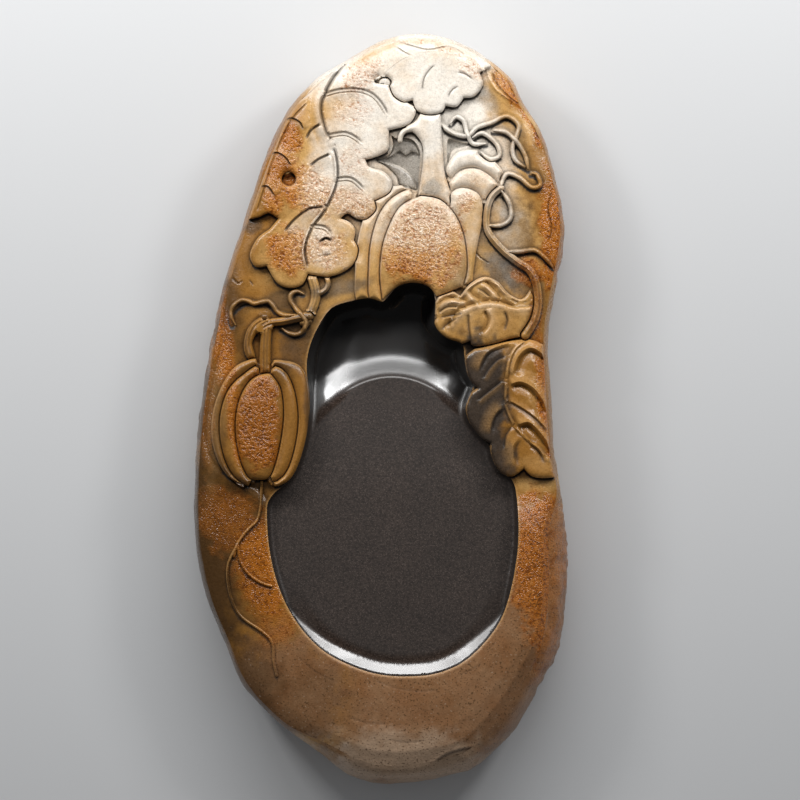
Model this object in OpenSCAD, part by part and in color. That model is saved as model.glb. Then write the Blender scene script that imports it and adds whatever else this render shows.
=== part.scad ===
// A large ink stone carved from one flat river pebble of slate.
// The well is sunk through the ochre skin into the dark core: a grinding hall, and an ink pool at its head.
// Round the well the skin is cut away to a level ground, and melons, leaves and vines stand up from it.
// The stone lies on its flat underside. +Y points to the crown, +X to the right of someone looking down.

/* [Stone] */
// Length of the pebble, from chin to crown
stone_l = 256; // [220:1:300]
// Width of the pebble across its widest part
stone_w = 128; // [112:1:150]
// Height of the level carved ground above the underside
ground_h = 27; // [25:0.5:34]
// Height of the pebble's widest line above the underside
belly_h = 13; // [10:0.5:16]
// How far the underside's flat foot lies in from the pebble's widest line
foot_inset = 9; // [5:0.5:13]
// How far the carved ground's edge lies in from the pebble's widest line
edge_inset = 2; // [1.2:0.1:3]
// Extra rounding of the pebble's upper edge where the chin is left uncarved
chin_round = 5; // [2:0.5:7]
// Rise of the uncarved chin above the carved ground
chin_rise = 3.5; // [2:0.5:4.5]
// Depth of the dark pockets on both sides of the middle stem
pocket_depth = 3; // [1.5:0.5:5]
// Height of the leaf at the bottom of the left pocket
back_leaf_h = 1.8; // [0.8:0.2:2.4]

/* [Well] */
// Depth of the grinding hall's floor below the carved ground
hall_depth = 4; // [3:0.5:6]
// Extra depth of the hall's floor at the head of the shoulder
hall_fall = 0.8; // [0:0.1:1.5]
// Depth of the ink pool's floor below the carved ground
pool_depth = 12; // [9:0.5:14]
// Width of the coved wall all round the well
wall_w = 5.5; // [3:0.5:7]
// Share of the way from the shoulder to the pool's far wall that the slope takes
slope_share = 0.45; // [0.3:0.05:0.7]
// Thickness of the core left under the ink pool
core_t = 5; // [4:0.5:8]

/* [Leaves] */
// Height of a leaf's blade above the carved ground
leaf_h = 3.2; // [2:0.2:4]
// Height of the ribs that stand on the blades
vein_h = 0.7; // [0.4:0.1:1]
// Width of a leaf's middle rib at its stalk
midrib_w = 2.4; // [1.8:0.1:3]
// Width of a leaf's side ribs
vein_w = 1.4; // [1:0.1:1.8]
// How far a leaf's edge is rounded in from its outline
leaf_round = 0.9; // [0.4:0.1:1.4]
// Width of the insect's hole in the left leaf
hole_w = 4.8; // [3:0.2:6]
// Height of the natural skin left standing at the crown
crown_h = 3.4; // [2:0.2:4]

/* [Melons] */
// Height of a melon's front rib above the carved ground
melon_h = 4.8; // [3.5:0.1:5]
// Height step from one melon rib down to the rib behind it
rib_step = 0.5; // [0.2:0.1:0.8]
// How far a melon rib is rounded in from its outline
melon_round = 2.2; // [1:0.1:2.4]

/* [Vines] */
// Width of the thick vines
vine_w = 3; // [2.2:0.1:3.6]
// Height of the thick vines above the carved ground
vine_h = 3; // [2:0.2:4]
// Width of the curling tendrils
tendril_w = 1.7; // [1.2:0.1:2]
// Height of the curling tendrils above the carved ground
tendril_h = 2.4; // [1.4:0.2:3]
// Width of the left melon's stalk
stalk_w = 4; // [3:0.2:4.6]
// Width of the trailing tendril that runs down beside the hall
trail_w = 1; // [0.8:0.1:1.6]
// Height of the trailing tendril above the carved ground
trail_h = 0.6; // [0.4:0.1:1.2]

/* [Carving] */
// Width of the fine cut between two carved forms
cut_w = 0.4; // [0.3:0.1:0.6]
// Width of the narrowest form that the knife leaves
least_w = 0.7; // [0.4:0.1:0.8]

/* [Hidden] */

// Steps that a curve takes between two of its points, and that the pebble's widest line takes
curve_steps = 3;
stone_steps = 4;
// Steps of a quarter turn on the pebble's flank, and on the well's coved wall
flank_steps = 4;
wall_steps = 3;

// Every outline below is drawn in millimetres on the stone's face, x to the right and y to the crown.

// The pebble's widest line, from the crown round to the right
stone_line = [
  [12, 128], [24, 126.3], [35, 121], [44.5, 113], [49.5, 103.5], [55, 95], [60, 80], [63, 66],
  [62.8, 55], [60, 40.5], [57.6, 25], [58.3, 9], [59.5, -12], [62.3, -29], [64.3, -48], [64, -66],
  [61.5, -82], [56.5, -92], [51.5, -101], [44, -112], [33, -122], [20, -126.2], [4, -128],
  [-9, -125.8], [-20, -118], [-35.5, -106.5], [-47, -94], [-53, -80], [-59.5, -64], [-63.3, -44],
  [-63.6, -22], [-61.8, 0], [-58.5, 20], [-55, 37], [-51, 50], [-46.5, 65], [-42, 78], [-37, 91],
  [-32, 101.5], [-22, 112.7], [-10, 120], [1, 125.8]
];

// The middle of the grinding hall, which the well and the pebble are turned about
hall_mid = [4, -30];

// The well's rim, from the ink pool's head round to the right
rim_line = [
  [12.5, 42.7], [17, 41], [18.8, 37.5], [18.5, 32.5], [18.8, 28], [22.8, 24], [28, 22], [28.7, 17],
  [29.6, 12], [31.6, 7.4], [30, 3.8], [29, 0], [30, -4], [34, -9.5], [37, -12.5], [38.2, -17],
  [41, -22], [44.5, -23.5], [46.2, -28], [47, -38], [46.6, -49], [44, -63], [39.5, -74],
  [30, -84.5], [20, -89.4], [9.5, -90.6], [-1, -89.8], [-11, -86.5], [-20, -81.5], [-27.5, -73.5],
  [-33, -64], [-36.6, -53], [-38.2, -42], [-38.2, -32], [-35, -27.6], [-31.2, -24.6], [-28, -19.5],
  [-25.4, -11], [-24, -2], [-24, 6], [-25, 14], [-24, 21], [-21, 28], [-16.5, 34.3], [-10, 36.6],
  [-3.5, 37.6], [0.8, 36.4], [3.5, 39], [7, 42]
];

// The shoulder between hall and pool is a parabola, with its head above the hall's middle
shoulder_head = 12;
// The point where the shoulder runs out against the well's right wall
shoulder_end = [28.5, -0.8];
// A pool narrower than this, measured from the shoulder to its far wall, is shallower too
full_pool = 14;
// Least width of the slope between the hall's floor and the foot of the wall
least_slope = 1;
// How far a pocket's cut runs on above the ground that it opens
cut_over = 1;

// The chin's uncarved skin lies clockwise from the first of these angles about the hall to the last one
chin_from = 4;
chin_full_from = -14;
chin_full_to = -96;
chin_to = -117;

// Outlines with sharp notches are lists of runs: each run starts where the one before it ends
left_leaf_runs = [
  [[-7, 112.8], [-2, 110.6], [3.3, 110]],
  [[4, 107], [8.5, 104.2], [12.2, 101.5], [9.8, 96.6], [3, 94.5]],
  [[3, 91.8], [2.6, 87.6], [-1, 85.6], [-5, 84.5]],
  [[-3.5, 82], [1, 80.6], [4, 77.3], [3, 73.4], [-2, 70.6]],
  [[-1.6, 67.5], [-4.8, 64.5], [-8, 64.6], [-11, 66.3], [-13.5, 64.6]],
  [[-10.4, 63.4], [-8.4, 60.8], [-8.9, 57.2]],
  [[-7.5, 54], [-9, 49.3], [-13, 46.2], [-18, 44.9], [-24.5, 45.8]],
  [[-26.4, 42.2], [-30.6, 41], [-35, 42.8], [-38.5, 48.5]],
  [[-42.3, 48.3], [-44.2, 52.3], [-41.6, 57.9], [-37.5, 61]],
  [[-34.5, 64.5]],
  [[-37.7, 66.4], [-41.4, 65], [-45, 64.2]],
  [[-41.8, 72.5], [-38.4, 85], [-34, 96], [-29.3, 102.7], [-24, 107], [-12.4, 117.5]]
];
hole_at = [-31, 78];
left_midrib = [
  [-12.4, 117], [-17.5, 110], [-20.2, 103], [-19, 95.3], [-15.8, 87.5], [-15, 78], [-18.6, 68.5],
  [-23.6, 61.5], [-26, 54], [-24.6, 46.5]
];
left_veins = [
  [[-19, 106.2], [-10, 107.9], [-3.5, 106.6], [2.4, 99.5]],
  [[-17.5, 92.3], [-12, 93.1], [-8, 91.3], [-5.8, 89]],
  [[-15, 77.5], [-10.5, 77.8], [-7.5, 76], [-5.3, 73.3]],
  [[-22.8, 61.8], [-18.5, 61], [-16.2, 58]],
  [[-20, 96.4], [-23.4, 94.2], [-25, 91]],
  [[-16.8, 86.3], [-21, 84.3], [-24, 81.8]],
  [[-19, 68.3], [-24, 67.6], [-29, 64], [-32.5, 59.8]]
];

top_leaf_runs = [
  [[2, 112.8], [4, 111.2], [3.4, 109.4]],
  [[4.8, 106.2], [8, 104.2], [11.1, 104.7]],
  [[12.6, 101.2], [16.5, 99.9], [20.8, 100.6], [22.3, 102.8]],
  [[26, 102.5], [28.4, 105.5]],
  [[32, 106], [35, 110], [33.8, 113.9]],
  [[35, 116], [30, 119.6], [20, 121], [9, 119], [0.3, 112.4]]
];
top_veins = [
  [[19, 117], [16.2, 113.8], [14.6, 108]],
  [[26, 114.2], [29, 113.4], [31.6, 111.5]],
  [[27.4, 109.6], [24.8, 108.3], [23.4, 105.4]]
];

// The crown's skin: what the leaves leave of this outline
crown_line = [
  [-13, 117.5], [-5, 123], [6, 127.5], [16, 128], [26, 125.5], [36, 120], [37.5, 116], [30, 114],
  [14, 114], [1, 113.4], [-4, 109.5], [-9, 107], [-13, 111]
];

ruffled_leaf_runs = [
  [[48, 37.2], [43.5, 39.3], [40, 43.2], [35.3, 44.8], [30.5, 42.4], [27.3, 38.4]],
  [[24.5, 39.9], [20.8, 39.2], [18.2, 34.5], [19.2, 30.9]],
  [[18.1, 28], [20.6, 25.2], [23.3, 22.9]],
  [[25.6, 21.6], [28.6, 22.4], [30.6, 23]],
  [[32, 21.3], [38, 22], [44, 23.8], [50, 25.5], [53.5, 32], [51, 40.5]]
];
ruffled_midrib = [[52, 37], [48, 34.9], [41.2, 34.7], [32.7, 34.4], [27, 36], [21, 34.6]];

right_leaf_runs = [
  [[29, 17.8], [28.5, 14.2], [30.2, 10], [33.2, 7.2]],
  [[30.4, 5], [29, 0.6], [30.6, -5], [34, -9.6], [37.5, -11.6]],
  [[37.5, -15], [39.5, -19.6], [42.5, -22.8]],
  [[45.5, -22.6], [48.9, -20.2]],
  [[51.5, -22.7], [55.5, -23.4], [61.5, -23]],
  [[61.5, -8], [61, 5], [59.5, 19.5]],
  [[53, 23], [48, 23.5], [42, 22.6], [36.5, 21.2], [32, 20.3]]
];
right_midrib = [
  [51, 26], [46.5, 21.5], [43.8, 16], [42.6, 8.5], [42.7, 1.5], [45.5, -4.5], [50, -10.5], [55.5, -18]
];
right_veins = [
  [[45.5, 9], [50, 11.8], [53.5, 7.4], [56, 3.4]],
  [[44.5, 6], [49, 6], [53, 2.6], [56, -3.6]],
  [[47.5, -5], [51, -5.8], [54.5, -8], [57, -11.6]],
  [[43.5, 21.4], [38.5, 20], [35.5, 16.6], [34, 12.3]],
  [[47, -9.6], [45.5, -12.6], [45, -17]]
];

// Each melon's ribs, with the front one first: every rib is cut by the ones before it
middle_melon_front_runs = [
  [[20.5, 70.8], [25.8, 65.2], [28.6, 57.5], [29.4, 48], [28, 41.6]],
  [[24, 40], [19.2, 38.2]],
  [[16.4, 41.6], [11.5, 42.9], [6, 41.6], [0.9, 37]],
  [[0, 46], [1.2, 56.5], [5.2, 66.3], [9, 70.1], [14, 72.2]]
];
middle_melon_ribs = [
  [[11, 73], [5.5, 72.5], [0.3, 67], [-2.8, 58], [-3.8, 48], [-3.4, 37], [2, 37], [6, 55]],
  [[24, 69], [24.3, 73.2], [28, 74.9], [33, 73.2], [34.8, 69], [34.2, 61], [32.8, 54], [31.8, 47],
   [31, 43], [27, 44], [22, 60]],
  [[9, 74.5], [2, 74.6], [-3.5, 69], [-7, 60], [-8.4, 49], [-8, 36.6], [-2, 36.4], [4, 60]]
];
back_melon_ribs = [
  [[23, 74.5], [25.3, 79], [28.6, 81.2], [33, 81.4], [37.6, 78.8], [40.4, 75], [38, 71], [30, 72]],
  [[22.6, 80], [25, 86], [29, 87.8], [34, 87.3], [38.6, 84.3], [42, 79.5], [40, 74], [30, 74]]
];
left_melon_ribs = [
  [[-38.4, 12], [-43.6, 10], [-47.6, 3.5], [-49, -6], [-47.6, -16], [-44.5, -23], [-40.8, -24],
   [-37.4, -22.6], [-34.6, -14], [-33, -3], [-33.6, 6], [-36, 10.5]],
  [[-36.8, 13.4], [-32.6, 12.9], [-29.4, 7], [-28, -2], [-28.8, -11], [-31, -19], [-34, -23.3],
   [-37.4, -22.4], [-38, 0]],
  [[-41.2, 13.8], [-46, 12], [-51.4, 6.6], [-54.2, -2], [-54, -11], [-51.5, -19.5], [-47.5, -24.4],
   [-43.6, -24], [-42, 0]],
  [[-36.9, 15], [-32.5, 16.4], [-27, 14.4], [-24.4, 8], [-24.3, -3], [-25.8, -13.4], [-28.8, -21.6],
   [-33, -25.4], [-36.4, -23.8], [-34, 0]],
  [[-41.6, 15.6], [-45.4, 16.3], [-50.3, 13.3], [-54.6, 6], [-57.1, -3], [-56.8, -12], [-53.5, -20.5],
   [-48.6, -24.6], [-44.5, -22], [-46, 0]]
];

middle_stem_line = [
  [8.6, 95.4], [12, 97.6], [15, 101.5], [20, 101.5], [21, 92], [22, 80], [24.4, 69], [13.6, 69],
  [14.4, 82], [14.5, 89], [12, 93.2]
];
middle_stem_hook = [[11, 94.8], [8.6, 94.4], [7.2, 93], [6.8, 91]];

left_stalk_path = [[-39, 10], [-39, 20], [-38.4, 29]];
left_vine_path = [[-40.6, 27.6], [-37.5, 29.2], [-33, 29.8], [-27.4, 31], [-24, 31.6]];
leaf_stalk_path = [[-25.4, 29], [-22.8, 34.4], [-21.8, 39.6], [-23.8, 46.5]];
leaf_stalk_curl = [[-18.4, 45.5], [-17.6, 42.9], [-18.4, 40.6], [-21, 39]];
hooked_leaf_line = [
  [-38.6, 32.2], [-41, 31], [-43.4, 29.2], [-45.4, 26.2], [-46.3, 21.4], [-45.2, 17.4], [-42.4, 16.2],
  [-42.6, 18.8], [-43.4, 22.4], [-41.6, 26], [-38.6, 28.4]
];
left_tendril_paths = [
  [[-50.3, 28.6], [-50.8, 31.9], [-49.3, 34.3], [-45.5, 36.5], [-41.7, 36], [-37.9, 36.2], [-35, 33.2],
   [-31.2, 32.2], [-28.3, 32.6]],
  [[-26.2, 39.4], [-28.8, 39.9], [-30.2, 37.2], [-28, 33.5], [-25.4, 29.6], [-25.9, 26.6], [-29, 25.2],
   [-33.6, 27.4]]
];

main_vine_path = [
  [41.2, 75], [38, 72], [36.3, 67], [36.6, 60.5], [41.2, 54.4], [46.5, 50], [50.8, 47], [53, 42.7],
  [53.7, 36], [52.4, 30], [49.3, 25]
];
twisted_vine_paths = [
  [[20.5, 97], [24, 94], [29.5, 92.6], [33, 95.4], [38, 97.2], [43, 99.3], [47, 96.5], [46.4, 92.6],
   [45, 88.5], [46, 84.5], [49.4, 82]],
  [[38.5, 94.5], [43, 93.8], [47, 90], [49.5, 85.5], [50.3, 81.4]]
];
curled_tendril_paths = [
  [[24, 97], [26, 99], [28.4, 97.6], [29.6, 93.5], [31.6, 90], [36, 90]],
  [[31.3, 92], [35, 93.5], [39.5, 90], [40.6, 86], [37.5, 84.8], [34.3, 87]]
];
looped_tendril_paths = [
  [[51.4, 80], [53.4, 79.4], [54.4, 76], [51.5, 75.2], [47.5, 78.4], [43.5, 79.8], [41.6, 77.5],
   [41, 74]],
  [[41.2, 74], [43.9, 70], [44.4, 65], [41.4, 62.4], [36.6, 62.2]]
];
vine_branch_path = [[43, 53.4], [47.5, 53.4], [52.4, 53.9], [56, 51.4], [58.8, 48]];

trailing_paths = [
  [[-40.2, -22], [-40.4, -31], [-41.6, -37.4], [-45, -41], [-48.4, -45.6], [-49.6, -50]],
  [[-48.4, -46], [-51.4, -52], [-51.7, -58], [-50.2, -65], [-47, -70.6], [-40, -75.5], [-36.6, -79.5],
   [-36, -86], [-35, -90.4]],
  [[-48.4, -45.6], [-47.4, -51.5], [-44.6, -56], [-40.6, -58.8], [-37, -60]]
];

// The dark pockets on both sides of the middle stem
pocket_lines = [
  [[3.6, 93], [4.4, 89.6], [2.6, 86.2], [-2, 84.6], [2, 82], [5.4, 78.6], [6.4, 75.8], [10.4, 74.4],
   [13, 74.4], [13.5, 80], [13.8, 87], [11.6, 91], [8.4, 92.2], [5.8, 91.8]],
  [[22.8, 91.2], [27, 91], [31, 89.6], [28, 88.6], [24.4, 87], [22.9, 82]]
];
// The two lobes of the leaf at the bottom of the left pocket
back_leaf_lines = [
  [[3.4, 93.4], [7, 92.4], [11.4, 90.6], [13.4, 86.4], [11, 87.4], [8.8, 86], [6.6, 87.6], [4.6, 86],
   [2, 86]],
  [[-1, 83.9], [4, 83.4], [8.4, 81.4], [11.6, 78], [12.6, 74], [8, 75], [5, 78]]
];

// A point of the smooth curve from b to c, whose outer neighbours are a and d
function on_curve(a, b, c, d, t) =
  0.5 * (2 * b + (c - a) * t + (2 * a - 5 * b + 4 * c - d) * t * t + (3 * b - a - 3 * c + d) * t * t * t);

// A closed smooth curve through its points
function loop_of(p, steps = curve_steps) = let (n = len(p)) [
  for (i = [0:n - 1], k = [0:steps - 1])
    on_curve(p[(i + n - 1) % n], p[i], p[(i + 1) % n], p[(i + 2) % n], k / steps)
];

// An open smooth curve through its points, without the last one
function run_of(p) = let (n = len(p)) [
  for (i = [0:n - 2], k = [0:curve_steps - 1])
    on_curve(p[max(i - 1, 0)], p[i], p[i + 1], p[min(i + 2, n - 1)], k / curve_steps)
];

// A closed outline of runs, with a sharp corner where two runs meet
function last_of(p) = p[len(p) - 1];
function outline_of(runs) = let (n = len(runs)) [
  for (i = [0:n - 1]) each run_of(concat([last_of(runs[(i + n - 1) % n])], runs[i]))
];

function xs(p) = [for (q = p) q.x];
function ys(p) = [for (q = p) q.y];

// The drawing is centred on the pebble's box and brought to the stone's length and width
drawn_line = loop_of(stone_line, stone_steps);
drawn_low = [min(xs(drawn_line)), min(ys(drawn_line))];
drawn_high = [max(xs(drawn_line)), max(ys(drawn_line))];
drawn_mid = (drawn_low + drawn_high) / 2;
drawn_size = drawn_high - drawn_low;
function place(p) = [
  (p.x - drawn_mid.x) * stone_w / drawn_size.x,
  (p.y - drawn_mid.y) * stone_l / drawn_size.y
];
function placed(points) = [for (p = points) place(p)];

stone_ring = placed(drawn_line);
spokes = len(stone_ring);
hall_at = place(hall_mid);
rim_ring_drawn = placed(loop_of(rim_line));

function turn(a, b) = a.x * b.y - a.y * b.x;
function unit(v) = v / norm(v);

// How far a ray from a point goes before it leaves a closed line
function reach(from, way, ring) = let (n = len(ring)) max([
  for (i = [0:n - 1])
    let (
      a = ring[i] - from,
      side = ring[(i + 1) % n] - ring[i],
      slant = turn(way, side),
      far = slant == 0 ? 0 : turn(a, side) / slant,
      along = slant == 0 ? -1 : turn(a, way) / slant
    )
    if (along >= 0 && along <= 1) far
]);

// Each spoke runs from the hall's middle to a point of the pebble's widest line
way = [for (p = stone_ring) unit(p - hall_at)];
rim_reach = [for (w = way) reach(hall_at, w, rim_ring_drawn)];
rim_ring = [for (i = [0:spokes - 1]) hall_at + way[i] * rim_reach[i]];

// The outward normal of the pebble's widest line, which runs clockwise
outward = [
  for (i = [0:spokes - 1])
    let (t = unit(stone_ring[(i + 1) % spokes] - stone_ring[(i + spokes - 1) % spokes])) [-t.y, t.x]
];

function clamp01(t) = max(0, min(1, t));
function ease(t) = let (u = clamp01(t)) u * u * (3 - 2 * u);

// Share of the chin's rise on each spoke: none beside the carving, all of it at the chin
chin_share = [
  for (w = way)
    let (a = atan2(w.y, w.x))
      ease((chin_from - a) / (chin_from - chin_full_from)) * ease((a - chin_to) / (chin_full_to - chin_to))
];

// The chin's domed skin: shares of the way from its edge to the rim, and of its rise there
chin_dome = [[0.16, 0.6], [0.36, 0.9], [0.68, 1], [1, 0.9]];
rim_z = [for (i = [0:spokes - 1]) ground_h + chin_rise * chin_share[i] * last_of(chin_dome)[1]];
core_z = ground_h - pool_depth - core_t;

function inset_point(i, inset) = stone_ring[i] - outward[i] * inset;
function edge_in(i) = edge_inset + chin_round * chin_share[i];
function ring_in(inset, z) = [for (i = [0:spokes - 1]) let (p = inset_point(i, inset)) [p.x, p.y, z]];
function edge_ring(inset_share, z) = [
  for (i = [0:spokes - 1]) let (p = inset_point(i, edge_in(i) * inset_share)) [p.x, p.y, z]
];
function dome_ring(across, rise) = [
  for (i = [0:spokes - 1])
    let (
      edge = inset_point(i, edge_in(i)),
      p = edge + (rim_ring[i] - edge) * across
    )
      [p.x, p.y, ground_h + chin_rise * chin_share[i] * rise]
];

// The block's rings run from the flat foot up the flank, over the ground and down into the core's seat
block_rings = concat(
  [for (k = [0:flank_steps])
    let (a = 90 * k / flank_steps) ring_in(foot_inset * (1 - sin(a)), belly_h * (1 - cos(a)))],
  [for (k = [1:flank_steps])
    let (a = 90 * k / flank_steps)
      edge_ring(1 - cos(a), belly_h + (ground_h - belly_h) * sin(a))],
  [for (d = chin_dome) dome_ring(d[0], d[1])],
  [[for (p = rim_ring) [p.x, p.y, core_z]]]
);

// The shoulder's distance from the hall's middle on each spoke that runs to the head of the well
shoulder_at = place([hall_mid.x, shoulder_head]) - hall_at;
shoulder_out = place(shoulder_end) - hall_at;
shoulder_bend = (shoulder_at.y - shoulder_out.y) / pow(shoulder_out.x, 2);
shoulder_reach = [
  for (i = [0:spokes - 1])
    let (w = way[i], bend = shoulder_bend * pow(w.x, 2))
      w.y > 0 ? 2 * shoulder_at.y / (w.y + sqrt(pow(w.y, 2) + 4 * bend * shoulder_at.y)) : rim_reach[i]
];

// Where the hall's floor ends, at the shoulder or at the foot of the wall
foot_reach = [for (r = rim_reach) r - wall_w];
floor_reach = [for (i = [0:spokes - 1]) min(shoulder_reach[i], foot_reach[i] - least_slope)];
pool_share = [
  for (i = [0:spokes - 1]) ease((foot_reach[i] - floor_reach[i] - least_slope) / full_pool)
];

hall_z = ground_h - hall_depth;
pool_drop = pool_depth - hall_depth - hall_fall;
function at_reach(i, r, z) = let (p = hall_at + way[i] * r) [p.x, p.y, z];
function floor_z(i, share) =
  hall_z - hall_fall * ease(way[i].y * floor_reach[i] * share / shoulder_at.y);
function foot_z(i) = floor_z(i, 1) - pool_drop * pool_share[i];

// The core's rings run from its seat up the well's rim, down the coved wall and in over pool and hall
slope_rings = 4;
core_rings = concat(
  [[for (p = rim_ring) [p.x, p.y, core_z]]],
  [for (k = [0:wall_steps - 1])
    let (a = 90 * (1 - k / wall_steps))
      [for (i = [0:spokes - 1])
        at_reach(i, foot_reach[i] + wall_w * sin(a), foot_z(i) + (rim_z[i] - foot_z(i)) * (1 - cos(a)))]],
  [for (k = [0:slope_rings])
    let (share = k == 0 ? 1 : slope_share * (1 - (k - 1) / slope_rings))
      [for (i = [0:spokes - 1])
        at_reach(
          i, floor_reach[i] + (foot_reach[i] - floor_reach[i]) * share,
          floor_z(i, 1) - pool_drop * pool_share[i] * ease(share / slope_share)
        )]],
  [for (share = [1, 0.8, 0.4])
    [for (i = [0:spokes - 1]) at_reach(i, floor_reach[i] * share, floor_z(i, share))]]
);

// A solid of rings that lie one after another, closed by a fan at each end
module ringed(rings, low_mid, high_mid) {
  n = len(rings[0]);
  m = len(rings);
  polyhedron(
    points = concat([low_mid], [for (r = rings) each r], [high_mid]),
    faces = concat(
      [for (i = [0:n - 1]) [0, 1 + i, 1 + (i + 1) % n]],
      [for (k = [0:m - 2], i = [0:n - 1], half = [0, 1])
        let (
          a = 1 + k * n + i,
          b = 1 + k * n + (i + 1) % n
        )
          half == 0 ? [a, a + n, b] : [b, a + n, b + n]],
      [for (i = [0:n - 1]) [1 + m * n, 1 + (m - 1) * n + (i + 1) % n, 1 + (m - 1) * n + i]]
    )
  );
}

// Plans: what each carved form covers on the ground, before its neighbours are cut out of it

module closed(points) polygon(placed(loop_of(points)));
module notched(runs) polygon(placed(outline_of(runs)));

// A strand of carved vine along a path, from one width to another
module strand(path, from_w, to_w) {
  line = placed(concat(run_of(path), [last_of(path)]));
  n = len(line);
  half = [for (i = [0:n - 1]) (from_w + (to_w - from_w) * i / (n - 1)) / 2];
  across = [
    for (i = [0:n - 1]) let (t = unit(line[min(i + 1, n - 1)] - line[max(i - 1, 0)])) [-t.y, t.x]
  ];
  for (i = [0:n - 2])
    polygon([
      line[i] + across[i] * half[i], line[i + 1] + across[i + 1] * half[i + 1],
      line[i + 1] - across[i + 1] * half[i + 1], line[i] - across[i] * half[i]
    ]);
  for (i = [0, n - 1])
    translate(line[i]) circle(r = half[i], $fn = 12);
}
module strands(paths, w) for (p = paths) strand(p, w, w * 0.75);

// The level ground that carving may stand on
module ground_plan() {
  difference() {
    offset(delta = -edge_inset) polygon(stone_ring);
    polygon(rim_ring);
  }
}

module left_leaf_plan() notched(left_leaf_runs);
module top_leaf_plan() notched(top_leaf_runs);
module ruffled_leaf_plan() notched(ruffled_leaf_runs);
module right_leaf_plan() notched(right_leaf_runs);
module middle_front_plan() notched(middle_melon_front_runs);
module middle_melon_plan() {
  middle_front_plan();
  for (rib = middle_melon_ribs) closed(rib);
}
module back_melon_plan() for (rib = back_melon_ribs) closed(rib);
module left_melon_plan() for (rib = left_melon_ribs) closed(rib);
module middle_stem_plan() {
  closed(middle_stem_line);
  strand(middle_stem_hook, tendril_w, tendril_w);
}
module left_vine_plan() strand(left_vine_path, vine_w * 0.8, vine_w);
module left_stalk_plan() strand(left_stalk_path, stalk_w, stalk_w * 0.85);
module leaf_stalk_plan() {
  strand(leaf_stalk_path, vine_w, vine_w * 1.1);
  strand(leaf_stalk_curl, tendril_w, tendril_w);
}
module hooked_leaf_plan() closed(hooked_leaf_line);
module left_tendril_plan() strands(left_tendril_paths, tendril_w);
module main_vine_plan() strand(main_vine_path, vine_w * 0.7, vine_w);
module twisted_vine_plan() strands(twisted_vine_paths, tendril_w * 1.15);
module curled_tendril_plan() strands(curled_tendril_paths, tendril_w);
module looped_tendril_plan() strands(looped_tendril_paths, tendril_w * 1.1);
module vine_branch_plan() strand(vine_branch_path, tendril_w * 1.2, tendril_w * 0.6);
module trailing_plan() for (p = trailing_paths) strand(p, trail_w, trail_w);

// The first child is cut back to the level ground and by the fine cut round the other children,
// and corners and slivers that no knife leaves are taken off
module cut_back() {
  offset(delta = least_w / 2) offset(delta = -least_w / 2)
    intersection() {
      ground_plan();
      difference() {
        children(0);
        if ($children > 1) offset(delta = cut_w) children([1:$children - 1]);
      }
    }
}

// A form that stands on the ground: shares of its rounding and of its height, from the ground up
edge_steps = [[0, 0.62], [0.4, 0.86], [1, 1]];
module stand(h, rounding) {
  translate([0, 0, ground_h])
    union()
      for (k = [0:len(edge_steps) - 1])
        let (low = k == 0 ? 0 : edge_steps[k - 1][1])
          translate([0, 0, h * low])
            linear_extrude(h * (edge_steps[k][1] - low))
              offset(delta = -rounding * edge_steps[k][0]) children();
}

// Ribs that stand on a blade and keep clear of its rounded edge
module raised_on(h, rise, margin) {
  translate([0, 0, ground_h + h])
    linear_extrude(rise)
      intersection() {
        offset(delta = -margin) children(0);
        offset(delta = least_w / 2) offset(delta = -least_w / 2) children(1);
      }
}

module stone_block() {
  color("#8f7346")
    difference() {
      ringed(block_rings, [hall_at.x, hall_at.y, 0], [hall_at.x, hall_at.y, core_z]);
      for (pocket = pocket_lines)
        translate([0, 0, ground_h - pocket_depth]) linear_extrude(pocket_depth + cut_over) closed(pocket);
    }
}

module grinding_well() {
  color("#6b5f5a")
    ringed(core_rings, [hall_at.x, hall_at.y, core_z], [hall_at.x, hall_at.y, hall_z]);
}

module crown_skin() {
  color("#c98a48")
    stand(crown_h, leaf_round)
      cut_back() {
        closed(crown_line);
        top_leaf_plan();
        left_leaf_plan();
      }
}

module left_leaf() {
  color("#b5894a")
    union() {
      stand(leaf_h, leaf_round) left_leaf_cut();
      raised_on(leaf_h, vein_h, leaf_round + least_w / 2) {
        left_leaf_cut();
        union() {
          strand(left_midrib, midrib_w * 0.6, midrib_w);
          for (v = left_veins) strand(v, vein_w, vein_w * 0.7);
        }
      }
    }
}
module left_leaf_cut() {
  cut_back() {
    left_leaf_plan();
    top_leaf_plan();
    translate(place(hole_at)) circle(d = hole_w - 2 * cut_w, $fn = 16);
  }
}

module top_leaf() {
  color("#c79a5c")
    union() {
      stand(leaf_h, leaf_round) cut_back() top_leaf_plan();
      raised_on(leaf_h, vein_h, leaf_round + least_w / 2) {
        cut_back() top_leaf_plan();
        for (v = top_veins) strand(v, vein_w, vein_w * 0.7);
      }
    }
}

module ruffled_leaf() {
  color("#c0a06c")
    union() {
      stand(leaf_h, leaf_round) ruffled_leaf_cut();
      raised_on(leaf_h, vein_h, leaf_round + least_w / 2) {
        ruffled_leaf_cut();
        strand(ruffled_midrib, midrib_w * 0.8, vein_w * 0.7);
      }
    }
}
module ruffled_leaf_cut() {
  cut_back() {
    ruffled_leaf_plan();
    main_vine_plan();
    middle_front_plan();
  }
}

module right_leaf() {
  color("#7d6f57")
    union() {
      stand(leaf_h, leaf_round) right_leaf_cut();
      raised_on(leaf_h, vein_h, leaf_round + least_w / 2) {
        right_leaf_cut();
        union() {
          strand(right_midrib, midrib_w, midrib_w * 0.6);
          for (v = right_veins) strand(v, vein_w, vein_w * 0.7);
        }
      }
    }
}
module right_leaf_cut() {
  cut_back() {
    right_leaf_plan();
    ruffled_leaf_plan();
    main_vine_plan();
  }
}

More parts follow.
